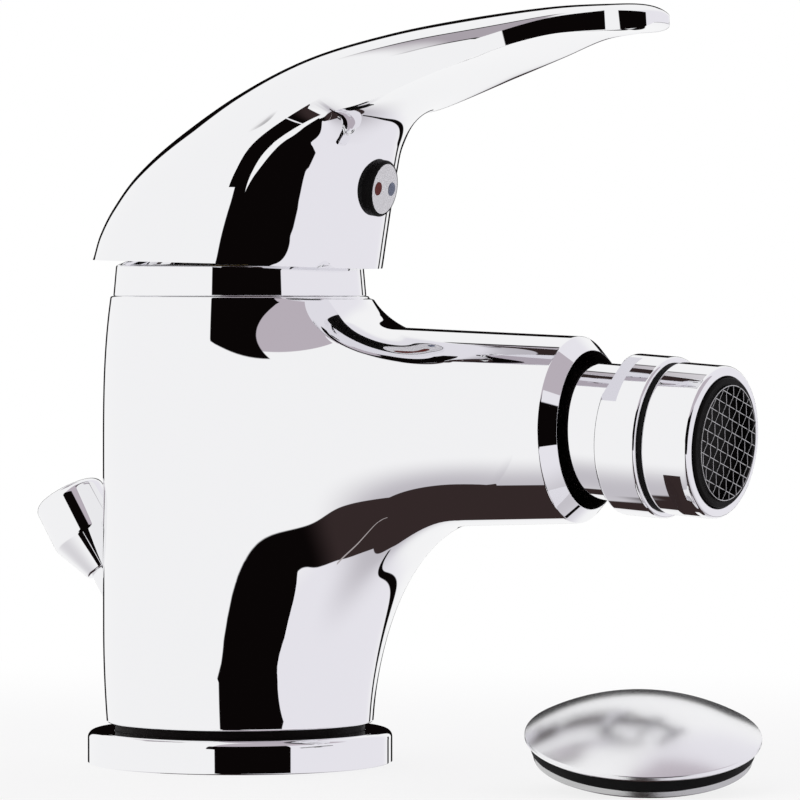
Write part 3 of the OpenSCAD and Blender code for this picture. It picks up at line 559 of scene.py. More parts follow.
def finish(name):
    """The material of a finish, built once from its row. Its label differs from the CAD's plain one."""
    label = name.replace("_", " ") + " finish"
    if label in bpy.data.materials:
        return bpy.data.materials[label]
    key, dark, broad, grain, stretch, rough, metal, bump, coat = FINISHES[name]
    colour = np.array(getattr(bpy.context.scene.mixer_finishes, key)[:])
    material = bpy.data.materials.new(label)
    material.use_nodes = True
    n = Nodes(material.node_tree)
    shader = n.tree.nodes["Principled BSDF"]
    worn = n.add("ShaderNodeGroup", node_tree=surface_group())
    n.fill(worn, {"Light": (*colour, 1), "Dark": (*(colour * dark), 1), "Broad scale": broad,
                  "Grain scale": grain, "Stretch": stretch, "Roughness from": rough[0],
                  "Roughness to": rough[1]})
    n.fill(shader, {"Base Color": worn.outputs["Color"], "Roughness": worn.outputs["Roughness"],
                    "Metallic": metal, "Coat Weight": coat, "Coat Roughness": COAT_ROUGHNESS,
                    "Specular IOR Level": GLOSSY if metal or coat else DULL})
    if bump:
        relief = n.add("ShaderNodeBump")
        n.fill(relief, {"Strength": bump, "Distance": BUMP_HEIGHT, "Height": worn.outputs["Height"]})
        n.feed(shader.inputs["Normal"], relief.outputs["Normal"])
    return material


# Column and spout

# Points of the skin along the wall's lower border, its back, its upper border and over the spout
UNDER_POINTS, BACK_POINTS, OVER_POINTS, TOP_POINTS = 76, 52, 60, 42
# Points of each line down the wall, through the blend, along the spout and round a rounded edge
WALL_POINTS, BLEND_POINTS, SPOUT_POINTS, EDGE_POINTS = 44, 41, 34, 8
# Points in a table of turns, and how often an angle is halved in a search
TABLE_POINTS, HALVINGS = 4001, 40
# Place of a support row on a flat end ring, as a share of its width
RING_SUPPORT = 0.03
# Heights that differ by less than this many metres count as one
NEAR = 1e-6


def column_radius(s, z):
    """Radius of the column: the belly's, drawn in by a square law to the foot and a cube law to the top."""
    low = np.clip((s.belly_low - z) / (s.belly_low - s.foot_z), 0, 1)
    high = np.clip((z - s.belly_high) / (s.top_z - s.belly_high), 0, 1)
    return s.belly_r - s.foot_draw * low ** 2 - s.top_draw * high ** 3


def spout_radius(s, x):
    """Radius of the spout, which grows steadily from its end towards the column."""
    return s.end_r + s.taper * (s.reach - x)


def blend_points(s, turn, t):
    """Points of the blend round the spout: a quarter ellipse of angle t from the column's wall to the spout.

    Its edge on the column, seen along the spout, is a superellipse: nearly as wide as the column, and as
    high as the spout with its blend. Along the spout its half axis is the upper or lower blend, or the side
    blend at the sides.
    """
    sine, cosine = np.sin(turn), np.cos(turn)
    far = np.where(sine > 0, s.blend_over, s.blend_under)
    drop = np.where(sine > 0, s.blend_over, s.blend_drop)
    long = far + (s.blend_side - far) * cosine ** 2
    root = spout_radius(s, s.belly_r)
    power = np.where(sine > 0, s.power_over, s.power_under)
    across, down = np.abs(cosine / (s.blend_edge * s.belly_r)), np.abs(sine / (root + drop))
    edge = (across ** power + down ** power) ** (-1 / power)
    wide = edge - root
    off, up = long * (1 - np.cos(t)), wide * (1 - np.sin(t))
    x = s.belly_r + 0 * off
    # The spout's radius depends on x and x on the radius, so both are worked out twice
    for _ in range(2):
        away = spout_radius(s, x) + up
        y, z = away * cosine, s.spout_z + away * sine
        x = np.sqrt(np.maximum((column_radius(s, z) + off) ** 2 - y ** 2, 1e-8))
    return np.stack([x, y, z], -1)


def column_points(s, across, z):
    """Points of the column's wall at a distance across from its front line, unrolled, and a height."""
    r, angle = column_radius(s, z), across / s.belly_r
    return np.stack([r * np.cos(angle), r * np.sin(angle), z], -1)


def skin_turns(s, low, high):
    """Turns round the spout's axis at which lines run down the skin.

    Their lines meet evenly spread points of the unrolled wall's border, its corners among them. Over the
    spout, where the blend passes the upper edge, the turns are even.
    """
    fine = np.linspace(-np.pi / 2, np.pi / 2, TABLE_POINTS)
    edge = blend_points(s, fine, 0 * fine)
    across = s.belly_r * np.arctan2(edge[:, 1], edge[:, 0])
    sight = np.unwrap(np.arctan2(edge[:, 2] - s.spout_z, across))
    cut = fine[np.argmax(edge[:, 2] > high)]
    cut_across = np.interp(cut, fine, across)
    half = np.pi * s.belly_r
    under = np.arctan2(low - s.spout_z, np.linspace(0, half, UNDER_POINTS))
    back = np.arctan2(np.linspace(low, high, BACK_POINTS)[1:] - s.spout_z, half)
    over = np.arctan2(high - s.spout_z, np.linspace(half, cut_across, OVER_POINTS)[1:])
    right = np.interp(np.concatenate([under, back, over]), sight, fine)
    right = np.concatenate([right[:-1], np.linspace(cut, np.pi / 2, TOP_POINTS)])
    return np.concatenate([right, np.pi - right[-2:0:-1]])


def body_sheets(s):
    """Skin of the column and spout, with its rounded upper and lower edges.

    Each line starts on the wall's border and runs straight over the unrolled column to the blend's edge,
    through the blend's quarter ellipse, along the spout and over its bevel to the recess. Where the blend
    passes the upper edge, halving the angle finds where the line starts within the blend.
    """
    low, high = s.foot_z + s.edge_r, s.top_z - s.edge_r
    turn = skin_turns(s, low, high)
    start = np.zeros_like(turn)
    far = np.full_like(turn, np.pi / 2)
    above = blend_points(s, turn, start)[:, 2] > high
    for _ in range(HALVINGS):
        middle = (start + far) / 2
        over = above & (blend_points(s, turn, middle)[:, 2] > high)
        start, far = np.where(over, middle, start), np.where(over, far, middle)
    start = np.where(above, start, 0)
    edge = blend_points(s, turn, start)
    across = s.belly_r * np.arctan2(edge[:, 1], edge[:, 0])
    rise = edge[:, 2] - s.spout_z
    limit = np.where(rise > 0, high - s.spout_z, low - s.spout_z)
    with np.errstate(divide="ignore", invalid="ignore"):
        grow = np.minimum(np.pi * s.belly_r / np.abs(across), np.abs(limit / rise))
    grow = np.where(above, 1, np.maximum(grow, 1))
    step = np.linspace(1, 0, WALL_POINTS)[:, None]
    stretch = 1 + (grow - 1) * step
    wall = column_points(s, across * stretch, s.spout_z + rise * stretch)
    t = np.linspace(0, 1, BLEND_POINTS)[1:, None]
    bend = blend_points(s, turn + 0 * t, start + (np.pi / 2 - start) * t)
    lip_x = s.reach - s.bevel
    lip_r = spout_radius(s, lip_x)
    near_lip = lip_x - s.bevel_edge / 2
    lip = rounded([[near_lip, spout_radius(s, near_lip), 0], [lip_x, lip_r, s.bevel_edge],
                   [s.reach, lip_r - s.bevel, s.bevel_edge / 4], [s.reach, s.recess_r + s.face_gap, 0]])
    along = np.linspace(0, 1, SPOUT_POINTS)[1:, None]
    x = bend[-1, :, 0] + (lip[0, 0] - bend[-1, :, 0]) * along
    tail_x = np.concatenate([x, lip[1:, :1] + 0 * turn])
    tail_r = np.concatenate([spout_radius(s, x), lip[1:, 1:] + 0 * turn])
    tail = np.stack([tail_x, tail_r * np.cos(turn), s.spout_z + tail_r * np.sin(turn)], -1)
    skin = np.concatenate([wall, bend, tail])
    border = skin[0]
    upper, lower = (border[np.abs(border[:, 2] - level) < NEAR] for level in (high, low))
    return [grid(skin, wrap=True, flip=True), edge_strip(s, upper, high, 1), edge_strip(s, lower, low, -1)]


def edge_strip(s, border, level, way):
    """Quarter circle along a level border, then the flat ring inside it. Way is 1 for up, -1 for down."""
    order = np.argsort(np.arctan2(border[:, 1], border[:, 0]))
    border = border[order]
    ahead = np.roll(border, -1, 0) - np.roll(border, 1, 0)
    out = np.stack([ahead[:, 1], -ahead[:, 0], 0 * ahead[:, 0]], -1)
    out /= np.linalg.norm(out, axis=1)[:, None]
    a = np.linspace(0, np.pi / 2, EDGE_POINTS)[:, None, None]
    arc = border - out * s.edge_r * (1 - np.cos(a)) + np.array([0, 0, way * s.edge_r]) * np.sin(a)
    ring = border / np.linalg.norm(border[:, :2], axis=1)[:, None] * s.ring_r
    ring[:, 2] = level + way * s.edge_r
    near = arc[-1] + (ring - arc[-1]) * RING_SUPPORT
    return grid(np.concatenate([arc, [near, ring]]), wrap=True, flip=way < 0)


def body_inside(s):
    """The casting's bores and hollow: the solid's own faces well inside the skin and short of its ends."""
    short_of_top, short_of_foot, short_of_recess = 0.1 * MM, 0.05 * MM, 0.5 * MM
    mesh = frame["nodes"]["body"].data
    points = np.zeros(len(mesh.vertices) * 3)
    mesh.vertices.foreach_get("co", points)
    points = points.reshape(-1, 3)
    faces = np.zeros(len(mesh.loops), np.int32)
    mesh.loops.foreach_get("vertex_index", faces)
    faces = faces.reshape(-1, 3)
    middle = points[faces].mean(1)
    from_axis = np.hypot(middle[:, 0], middle[:, 1])
    from_spout = np.hypot(middle[:, 1], middle[:, 2] - s.spout_z)
    column = (from_axis < s.belly_r - s.inside_depth) & (middle[:, 2] < s.top_z - short_of_top)
    column &= np.abs(middle[:, 2] - s.foot_z) > short_of_foot
    bore = (middle[:, 0] > s.bore_from) & (from_spout < s.recess_r - short_of_recess)
    return points, faces[column | bore]


class MIXER_OT_body(bpy.types.Operator):
    """Builds the column with its spout, the bores inside it, the base ring and the collar"""
    bl_idname = "mixer.body"
    bl_label = "Body"

    def execute(self, context):
        s = context.scene.mixer_body
        add_piece("body_skin", body_sheets(s), "chrome", "mixer", "body", crease=40)
        # The bores and the spout's recess take the near-black bore finish: painted shade in the hollows,
        # over the darker unplated metal
        add_piece("body_bores", [body_inside(s)], "bore", "mixer", "body")
        recess = rounded([[s.recess_floor_r, s.recess_depth, 0], [s.recess_r, s.recess_depth, s.recess_edge],
                          [s.recess_r, s.flare_depth, 0], [s.recess_r + s.flare, 0, 0]])
        along_spout = placed(revolved(recess), turned(0, -math.pi / 2, 0), (s.reach, 0, s.spout_z))
        add_piece("spout_recess", [along_spout], "bore", "mixer", "body")
        start = [s.base_bore_r, 0, 0]
        base = rounded([start, [s.base_r, 0, s.base_foot_edge], [s.base_r, s.base_h, s.base_edge],
                        [s.base_step_r, s.base_h, s.base_step_edge], [s.base_step_r, s.base_step_z, 0],
                        [s.base_bore_r, s.base_step_z, 0], start])
        add_piece("base_ring_skin", [revolved(base, WIDE_TURNS)], "chrome", "mixer", "base_ring")
        inner = s.collar_r - s.collar_wall
        side_z = s.top_z + s.collar_h
        roof_z = side_z + s.collar_dome_h
        start = [inner, side_z - s.collar_roof, 0]
        collar = rounded([start, [inner, s.top_z, 0], [s.collar_r, s.top_z, s.collar_foot_edge],
                          [s.collar_r - s.collar_draw, side_z, s.collar_side_edge],
                          [s.collar_dome_r, roof_z, s.collar_top_edge], [s.collar_bore_r, roof_z, 0],
                          [s.collar_bore_r, roof_z - s.collar_roof, 0], start])
        add_piece("collar_skin", [revolved(collar, WIDE_TURNS)], "chrome", "mixer", "collar")
        return {"FINISHED"}


# Handle: stations down the lever, in millimetres above the column's top.
# Ridge x and z, crease x and z, its half width, lower edge x and z, its half width, front x and z.
STATIONS = np.array([
    [-23.6, 6, 8.3, 5.2, 22.2, 8.6, 5.2, 22.1, 23.9, 4.4],
    [-22.9, 10, 8.7, 9.8, 21.9, 9.4, 9.7, 21.5, 24.6, 9.5],
    [-20.8, 14.5, 9.4, 14.8, 21.4, 10.4, 14.5, 20.7, 25.5, 15.5],
    [-16.6, 20, 11, 19.8, 20.6, 12, 19.5, 19.6, 26.4, 20.7],
    [-9.5, 26, 13.6, 24.7, 18.6, 15, 24.2, 17.4, 27.6, 24.8],
    [1.5, 33.1, 20.2, 29.8, 15.6, 21.7, 28.6, 14.2, 30.5, 29.1],
    [14.5, 38.7, 29.4, 34.1, 14.6, 30.4, 30.6, 13.9, 36.2, 32.9],
    [29.5, 42.3, 41, 37.5, 14.6, 41.8, 34.6, 14.1, 45.2, 36.9],
    [44.5, 44.5, 51.9, 40.7, 13.8, 52.4, 38.3, 13.4, 54.2, 39.5],
    [59, 45.9, 61.4, 43.5, 10.5, 61.6, 40.9, 10.2, 62.4, 41.7],
    [69.3, 46.1, 69.7, 44.7, 6.8, 69.8, 41.7, 6.6, 70, 42.1],
])
# Hood over the cartridge, inside the lever: radius and height of its lower and upper corner, in millimetres,
# then its flare at the rim and its least height over the rim
HOOD_LOW, HOOD_HIGH = (21.7, 5.5), (18.5, 14.5)
HOOD_FLARE, HOOD_RISE = 0.5, 0.4
TIP_ROWS = 40


def through_stations(rows):
    """Rows of station values on a smooth curve through every station (a Catmull-Rom spline)."""
    padded = np.concatenate([STATIONS[:1], STATIONS, STATIONS[-1:]])
    place = np.linspace(0, len(STATIONS) - 1, (len(STATIONS) - 1) * rows + 1)
    k = np.minimum(place.astype(int), len(STATIONS) - 2)
    t = (place - k)[:, None]
    a, b, c, d = (padded[k + i] for i in range(4))
    cubic = 2 * b + (c - a) * t + (2 * a - 5 * b + 4 * c - d) * t ** 2 + (3 * b - a - 3 * c + d) * t ** 3
    return place, 0.5 * cubic


def lever_rings(s, place, values):
    """Rings of the lever: half an ellipse over the ridge from crease to crease, and half of one in front.

    Near the rim the shell bulges and the neck draws in past their ellipses, by a share times the sine of the
    angle. Towards the tip the shell's ellipse is cut off at the rake, and meets its crease at an angle.
    """
    half = s.half
    fade = np.maximum(0, 1 - place / s.sculpt_end)[:, None]
    fields = values.T[:, :, None]
    ridge_x, ridge_z, crease_x, crease_z, wide, low_x, low_z, low_wide, front_x, front_z = fields
    rake = s.shell_rake * (1 - fade)
    a = rake + (np.pi - 2 * rake) * np.linspace(0, 1, half + 1)
    arch = (np.sin(a) - np.sin(rake)) / (1 - np.sin(rake))
    b = np.linspace(s.under_start, np.pi - s.under_start, half + 1)
    upper = np.stack([crease_x + (ridge_x - crease_x) * arch,
                      wide * np.cos(a) / np.cos(rake) * (1 + s.shell_bulge * fade * arch),
                      crease_z + (ridge_z - crease_z) * arch], -1)
    lower = np.stack([low_x + (front_x - low_x) * np.sin(b),
                      -low_wide * np.cos(b) * (1 - s.neck_draw * fade * np.sin(b)),
                      low_z + (front_z - low_z) * np.sin(b)], -1)
    return np.concatenate([upper, lower], 1)


def lever_sheets(s, top_z):
    """Skin of the lever with its closed tip, and the hood that covers the cartridge from inside.

    The tip's rings shrink by the cube law of a superellipse while they run out to the reach.
    """
    place, values = through_stations(s.rows)
    rings = lever_rings(s, place, values)
    last, middle_x = rings[-1], values[-1, 2]
    q = np.sin(np.linspace(0, np.pi / 2, TIP_ROWS))[1:, None]
    shrink = (1 - q ** 3) ** (1 / 3)
    tip_z = s.tip_z / MM
    tip = np.stack([middle_x + (s.reach / MM - middle_x) * q + (last[:, 0] - middle_x) * shrink,
                    last[:, 1] * (s.tip_end + (1 - s.tip_end) * shrink) * (1 - s.tip_taper * q),
                    tip_z + (last[:, 2] - tip_z) * shrink], -1)
    rings = np.concatenate([rings, tip])
    angle = np.arctan2(rings[0, :, 1], rings[0, :, 0])
    rim = rings[0]
    hood = [rim]
    for r, z in ((HOOD_LOW[0] + HOOD_FLARE, None), HOOD_LOW, HOOD_HIGH, (0, HOOD_HIGH[1])):
        level = rim[:, 2] if z is None else np.maximum(z + 0 * angle, rim[:, 2] + HOOD_RISE)
        hood.append(np.stack([r * np.cos(angle), r * np.sin(angle), level], -1))
    lift = np.array([0, 0, top_z / MM])
    return [grid((rings + lift) * MM, wrap=True, flip=True), grid((np.array(hood) + lift) * MM, wrap=True)]


class MIXER_OT_lever(bpy.types.Operator):
    """Builds the handle and the index plug with its marks"""
    bl_idname = "mixer.lever"
    bl_label = "Lever"

    def execute(self, context):
        s = context.scene.mixer_lever
        top_z = context.scene.mixer_body.top_z
        add_piece("lever_skin", lever_sheets(s, top_z), "chrome", "handle", "lever", crease=30)
        look = turned(0, math.pi / 2 + s.index_lean, 0)
        seat = (s.index_x, 0, top_z + s.index_z)
        proud, edge = s.index_proud, s.index_r - s.index_edge
        side = rounded([[s.index_r, -s.index_depth, 0], [s.index_r, proud, s.index_edge], [edge, proud, 0]])
        face = np.array([[edge, proud], [edge / 2, proud], [0, proud]])
        dot = rounded([[s.mark_r, -s.mark_depth, 0], [s.mark_r, s.mark_proud, s.mark_edge],
                       [0, s.mark_proud, 0]])
        dot = revolved(dot, MARK_TURNS)
        hot, cold = (placed(dot, np.eye(3), (0, way * s.mark_spread, proud)) for way in (-1, 1))
        for name, sheet, material, node in (
                # The plug's side takes the black plastic finish: painted shade of the dark gap round the
                # plug
                ("index_plug_side", revolved(side), "black_plastic", "index_plug"),
                ("index_plug_face", revolved(face), "plug_white", "index_plug"),
                ("hot_mark_skin", hot, "hot_red", "hot_mark"),
                ("cold_mark_skin", cold, "cold_blue", "cold_mark")):
            add_piece(name, [placed(sheet, look, seat)], material, "handle", node)
        return {"FINISHED"}


# Outlet

# Share of a ring's widest radius past which a row belongs to its outer wall
OUTER_WALL = 0.95
# Points of a wire for each pitch of the weave, and round it
WIRE_STEPS, WIRE_SIDES = 16, 8


def flatted(outline, flat, span, across, turn):
    """Revolved outline with two opposite wrench flats: where a row lies in the span, its radius stops there.

    The columns are even, with the flats' edges added, so that these stay crisp.
    """
    widest = outline[:, 0].max()
    edge = math.acos(across / widest)
    angle = np.linspace(0, 2 * np.pi, FLAT_TURNS, endpoint=False)
    edges = [turn + side + way * edge for side in (0, np.pi) for way in (-1, 1)]
    angle = np.sort(np.concatenate([angle, np.mod(edges, 2 * np.pi)]))
    toward = np.abs(np.cos(angle - turn))
    r = outline[:, 0, None] + 0 * angle
    limit = across / np.maximum(toward, 1e-3)
    hair = 1e-9
    held = (outline[:, 1] >= span[0] - hair) & (outline[:, 1] <= span[1] + hair) & flat
    r = np.where(held[:, None], np.minimum(r, limit), r)
    level = outline[:, 1, None] + 0 * angle
    return grid(np.stack([r * np.cos(angle), r * np.sin(angle), level], -1), wrap=True)


def ring_with_flats(corners, span, across, turn):
    """Revolved corners with wrench flats, where the outer wall steps at both ends of the flats' span."""
    outline = rounded(corners)
    outer = OUTER_WALL * outline[:, 0].max()
    rows, flags = [outline[0]], [True]
    for before, after in zip(outline[:-1], outline[1:]):
        for level, way in ((span[0], 1), (span[1], -1)):
            if before[1] < level < after[1] and before[0] > outer:
                rows += [[before[0], level], [before[0], level]]
                flags += [way < 0, way > 0]
        rows.append(after)
        flags.append(True)
    return flatted(np.array(rows), np.array(flags), span, across, turn)


def woven_screen(s, level):
    """Woven wires: one set runs straight across the face, and the other waves over and under it.

    The wave's height is twice the wire radius times the cosine of half a turn for each pitch, with the phase
    swapped wire by wire. A hoop of the same wire runs round the edge.
    """
    sheets = []
    count = int(s.screen_r / s.screen_pitch)
    around = np.linspace(0, 2 * np.pi, WIRE_SIDES, endpoint=False)
    for way in (0, 1):
        for i in range(-count, count + 1):
            side = i * s.screen_pitch
            half = math.sqrt(s.screen_r ** 2 - side ** 2)
            run = np.linspace(-half, half, max(int(half / s.screen_pitch * WIRE_STEPS), WIRE_SIDES))
            phase = np.pi * (run / s.screen_pitch + i + way)
            tall = 2 * s.wire_r * way
            wave = tall * np.cos(phase)
            slope = -tall * np.pi / s.screen_pitch * np.sin(phase)
            size = np.sqrt(1 + slope ** 2)
            out = s.wire_r * np.cos(around)[None]
            up = s.wire_r * np.sin(around)[None]
            along = run[:, None] - up * (slope / size)[:, None]
            height = level + wave[:, None] + up / size[:, None]
            sideways = side + out + 0 * along
            points = np.stack([along, sideways, height] if way == 0 else [-sideways, along, height], -1)
            sheets.append(grid(points, wrap=True, flip=True))
    hoop = np.stack([s.screen_r + s.wire_r * np.cos(around), level + s.wire_r * np.sin(around)], -1)
    sheets.append(revolved(np.concatenate([hoop, hoop[:1]])))
    roll = turned(0, 0, s.screen_roll)
    return [placed(sheet, roll, (0, 0, 0)) for sheet in sheets]


class MIXER_OT_outlet(bpy.types.Operator):
    """Builds the swivel and the aerator ring, with its gasket, insert and woven screen"""
    bl_idname = "mixer.outlet"
    bl_label = "Outlet"

    def execute(self, context):
        s = context.scene.mixer_outlet
        centre = (s.ball_x, 0, context.scene.mixer_body.spout_z)
        look = turned(0, s.tilt, -s.pan) @ turned(0, math.pi / 2, 0)
        socket = ring_with_flats(
            [[s.bore_r, -s.bore_back, 0], [s.bore_r, -s.neck_back, 0], [s.neck_r, -s.neck_back, s.neck_edge],
             [s.neck_r, s.ring_1_from, 0], [s.ring_1_r, s.ring_1_from, s.ring_edge],
             [s.ring_1_r, s.ring_1_to, s.ring_edge], [s.bore_r, s.ring_1_to, 0]],
            (s.ring_1_from, s.ring_1_from + s.flat_len), s.ring_1_r - s.flat_depth,
            math.pi / 2 - s.flat_turn)
        inner, flat_end = s.insert_r, s.ring_2_to - s.rim
        housing = ring_with_flats(
            [[s.bore_r, s.ring_2_from, 0], [s.ring_2_r, s.ring_2_from, s.ring_edge],
             [s.ring_2_r, s.ring_2_to, s.face_edge], [inner, s.ring_2_to, s.lip_edge],
             [inner, s.ring_2_from + s.insert_ledge, 0]],
            (flat_end - s.flat_len, flat_end), s.ring_2_r - s.flat_depth, math.pi / 2 + s.flat_turn)
        gasket = np.array([[s.bore_r, s.ring_1_to], [s.gasket_r, s.ring_1_to], [s.gasket_r, s.ring_2_from],
                           [s.bore_r, s.ring_2_from]])
        front, seat = s.ring_2_to + s.insert_proud, s.ring_2_to - s.insert_depth
        insert = rounded([[inner, seat, 0], [inner, front, s.insert_edge],
                          [s.screen_r, front, s.insert_edge], [s.screen_r, seat, 0], [0, seat, 0]])
        screen = woven_screen(s, s.ring_2_to + s.screen_proud)
        for name, sheets, material, node, crease in (
                ("swivel_skin", [socket], "chrome", "swivel_socket", 14),
                ("aerator_skin", [housing], "chrome", "aerator_housing", 14),
                ("gasket_skin", [revolved(gasket)], "black_rubber", "aerator_gasket", 24),
                ("insert_skin", [revolved(insert)], "black_plastic", "aerator_insert", 24),
                ("screen_wires", screen, "steel", "aerator_screen", 60)):
            seated = [placed(sheet, look, centre) for sheet in sheets]
            add_piece(name, seated, material, "outlet", node, crease=crease)
        return {"FINISHED"}


class MIXER_OT_rod(bpy.types.Operator):
    """Builds the pop-up rod and its knob"""
    bl_idname = "mixer.rod"
    bl_label = "Pop-up rod"

    def execute(self, context):
        s = context.scene.mixer_rod
        look = turned(0, math.pi - s.lean, 0)
        top = (s.top_x, 0, s.top_z)
        knob = rounded([[0, 0, 0], [s.knob_r, s.knob_crown, s.knob_top_edge],
                        [s.knob_r, s.knob_side, s.knob_waist_edge],
                        [s.knob_small_r, s.knob_len, s.knob_foot_edge], [s.rod_r, s.knob_len, 0]], steps=12)
        add_piece("knob_skin", [placed(revolved(knob), look, top)], "chrome", "pop_up_rod", "rod_knob")
        rod = rounded([[s.rod_r, s.knob_side, 0], [s.rod_r, s.rod_end, s.rod_edge], [0, s.rod_end, 0]])
        rod = placed(revolved(rod, ROD_TURNS), look, top)
        add_piece("rod_skin", [rod], "chrome", "pop_up_rod", "pull_rod")
        return {"FINISHED"}


CROWN_POINTS = 64


class MIXER_OT_plug(bpy.types.Operator):
    """Builds the loose waste plug: dome, seal and lower ring with its stem"""
    bl_idname = "mixer.plug"
    bl_label = "Waste plug"

    def execute(self, context):
        s = context.scene.mixer_plug
        under = s.seal_h + s.ring_h
        rise = under * math.cos(s.lean) + s.ring_r * math.sin(s.lean)
        stem_end = (rise - s.stem_r * math.sin(s.lean)) / math.cos(s.lean)
        look = turned(0, s.lean, s.turn)
        place = (*s.place, rise)
        ball = (s.dome_r ** 2 + s.crown ** 2) / (2 * s.crown)
        reach = math.asin(s.dome_r / ball)
        a = np.linspace(reach - s.rim_break, 0, CROWN_POINTS)
        crown = np.stack([ball * np.sin(a), s.rim_h + s.crown - ball * (1 - np.cos(a))], -1)
        rim = rounded([[s.stem_r, 0, 0], [s.dome_r, 0, s.edge], [s.dome_r, s.rim_h, s.edge], [*crown[0], 0]])
        dome = placed(revolved(np.concatenate([rim[:-1], crown]), WIDE_TURNS), look, place)
        add_piece("plug_dome_skin", [dome], "satin_chrome", "waste_plug", "plug_dome", crease=50)
        seal = rounded([[s.stem_r, -s.seal_h, 0], [s.seal_r, -s.seal_h, s.seal_edge],
                        [s.seal_r, 0, s.seal_edge], [s.stem_r, 0, 0]])
        ring = rounded([[0, -stem_end, 0], [s.stem_r, -stem_end, s.edge], [s.stem_r, -under, 0],
                        [s.ring_r, -under, s.edge], [s.ring_r, -s.seal_h, s.ring_top_edge],
                        [0, -s.seal_h, 0]])
        for name, outline, material, node in (("plug_seal_skin", seal, "black_rubber", "plug_seal"),
                                              ("plug_ring_skin", ring, "steel", "plug_stem")):
            add_piece(name, [placed(revolved(outline), look, place)], material, "waste_plug", node)
        return {"FINISHED"}


class MIXER_OT_inner(bpy.types.Operator):
    """Gives every solid that stays in view its own finish"""
    bl_idname = "mixer.inner"
    bl_label = "Inner pieces"

    def execute(self, context):
        slots = {row["node"]: row["material_slot"] for row in frame["record"]["subparts"]}
        for name, node in frame["nodes"].items():
            if not node.hide_render:
                node.data.materials.clear()
                node.data.materials.append(finish(slots[name]))
        return {"FINISHED"}


# Stage

# Left and right border of the studio's dark side: pairs of height and bearing from the camera, in degrees
DARK_LEFT = ((-72, -75), (-60, -42), (-43, -26), (-25, -16), (-12, -18), (-5, -19.5), (0, -26))
DARK_RIGHT = ((-72, 90), (-60, 40), (-40, 15), (-27, 6), (-19.5, 0), (-18, 26), (-12, 38.5))
# Top border of the dark ground: pairs of bearing and height
GROUND_TOP = ((-180, -36), (-172, -37), (-160, -47), (-138, -56), (-118, -58), (-95, -56.5), (-72, -61),
              (-36, -61), (40, -62), (100, -61), (135, -55), (160, -49), (180, -36))
# Middle of the far corner's dark strip and of the light seam on the dark side: pairs of height and bearing
FAR_CORNER = ((-56, 122), (-42, 128), (-30, 138), (-10, 151))
SEAM = ((-74, -18), (-53, 10), (-37, 14.5))
# Where the gap between the lamps fades in at its back and at its front, as a direction's x
GAP_BACK, GAP_FRONT = (-0.66, -0.60), (-0.36, -0.42)
# Width of the camera's sensor, in millimetres
SENSOR = 36


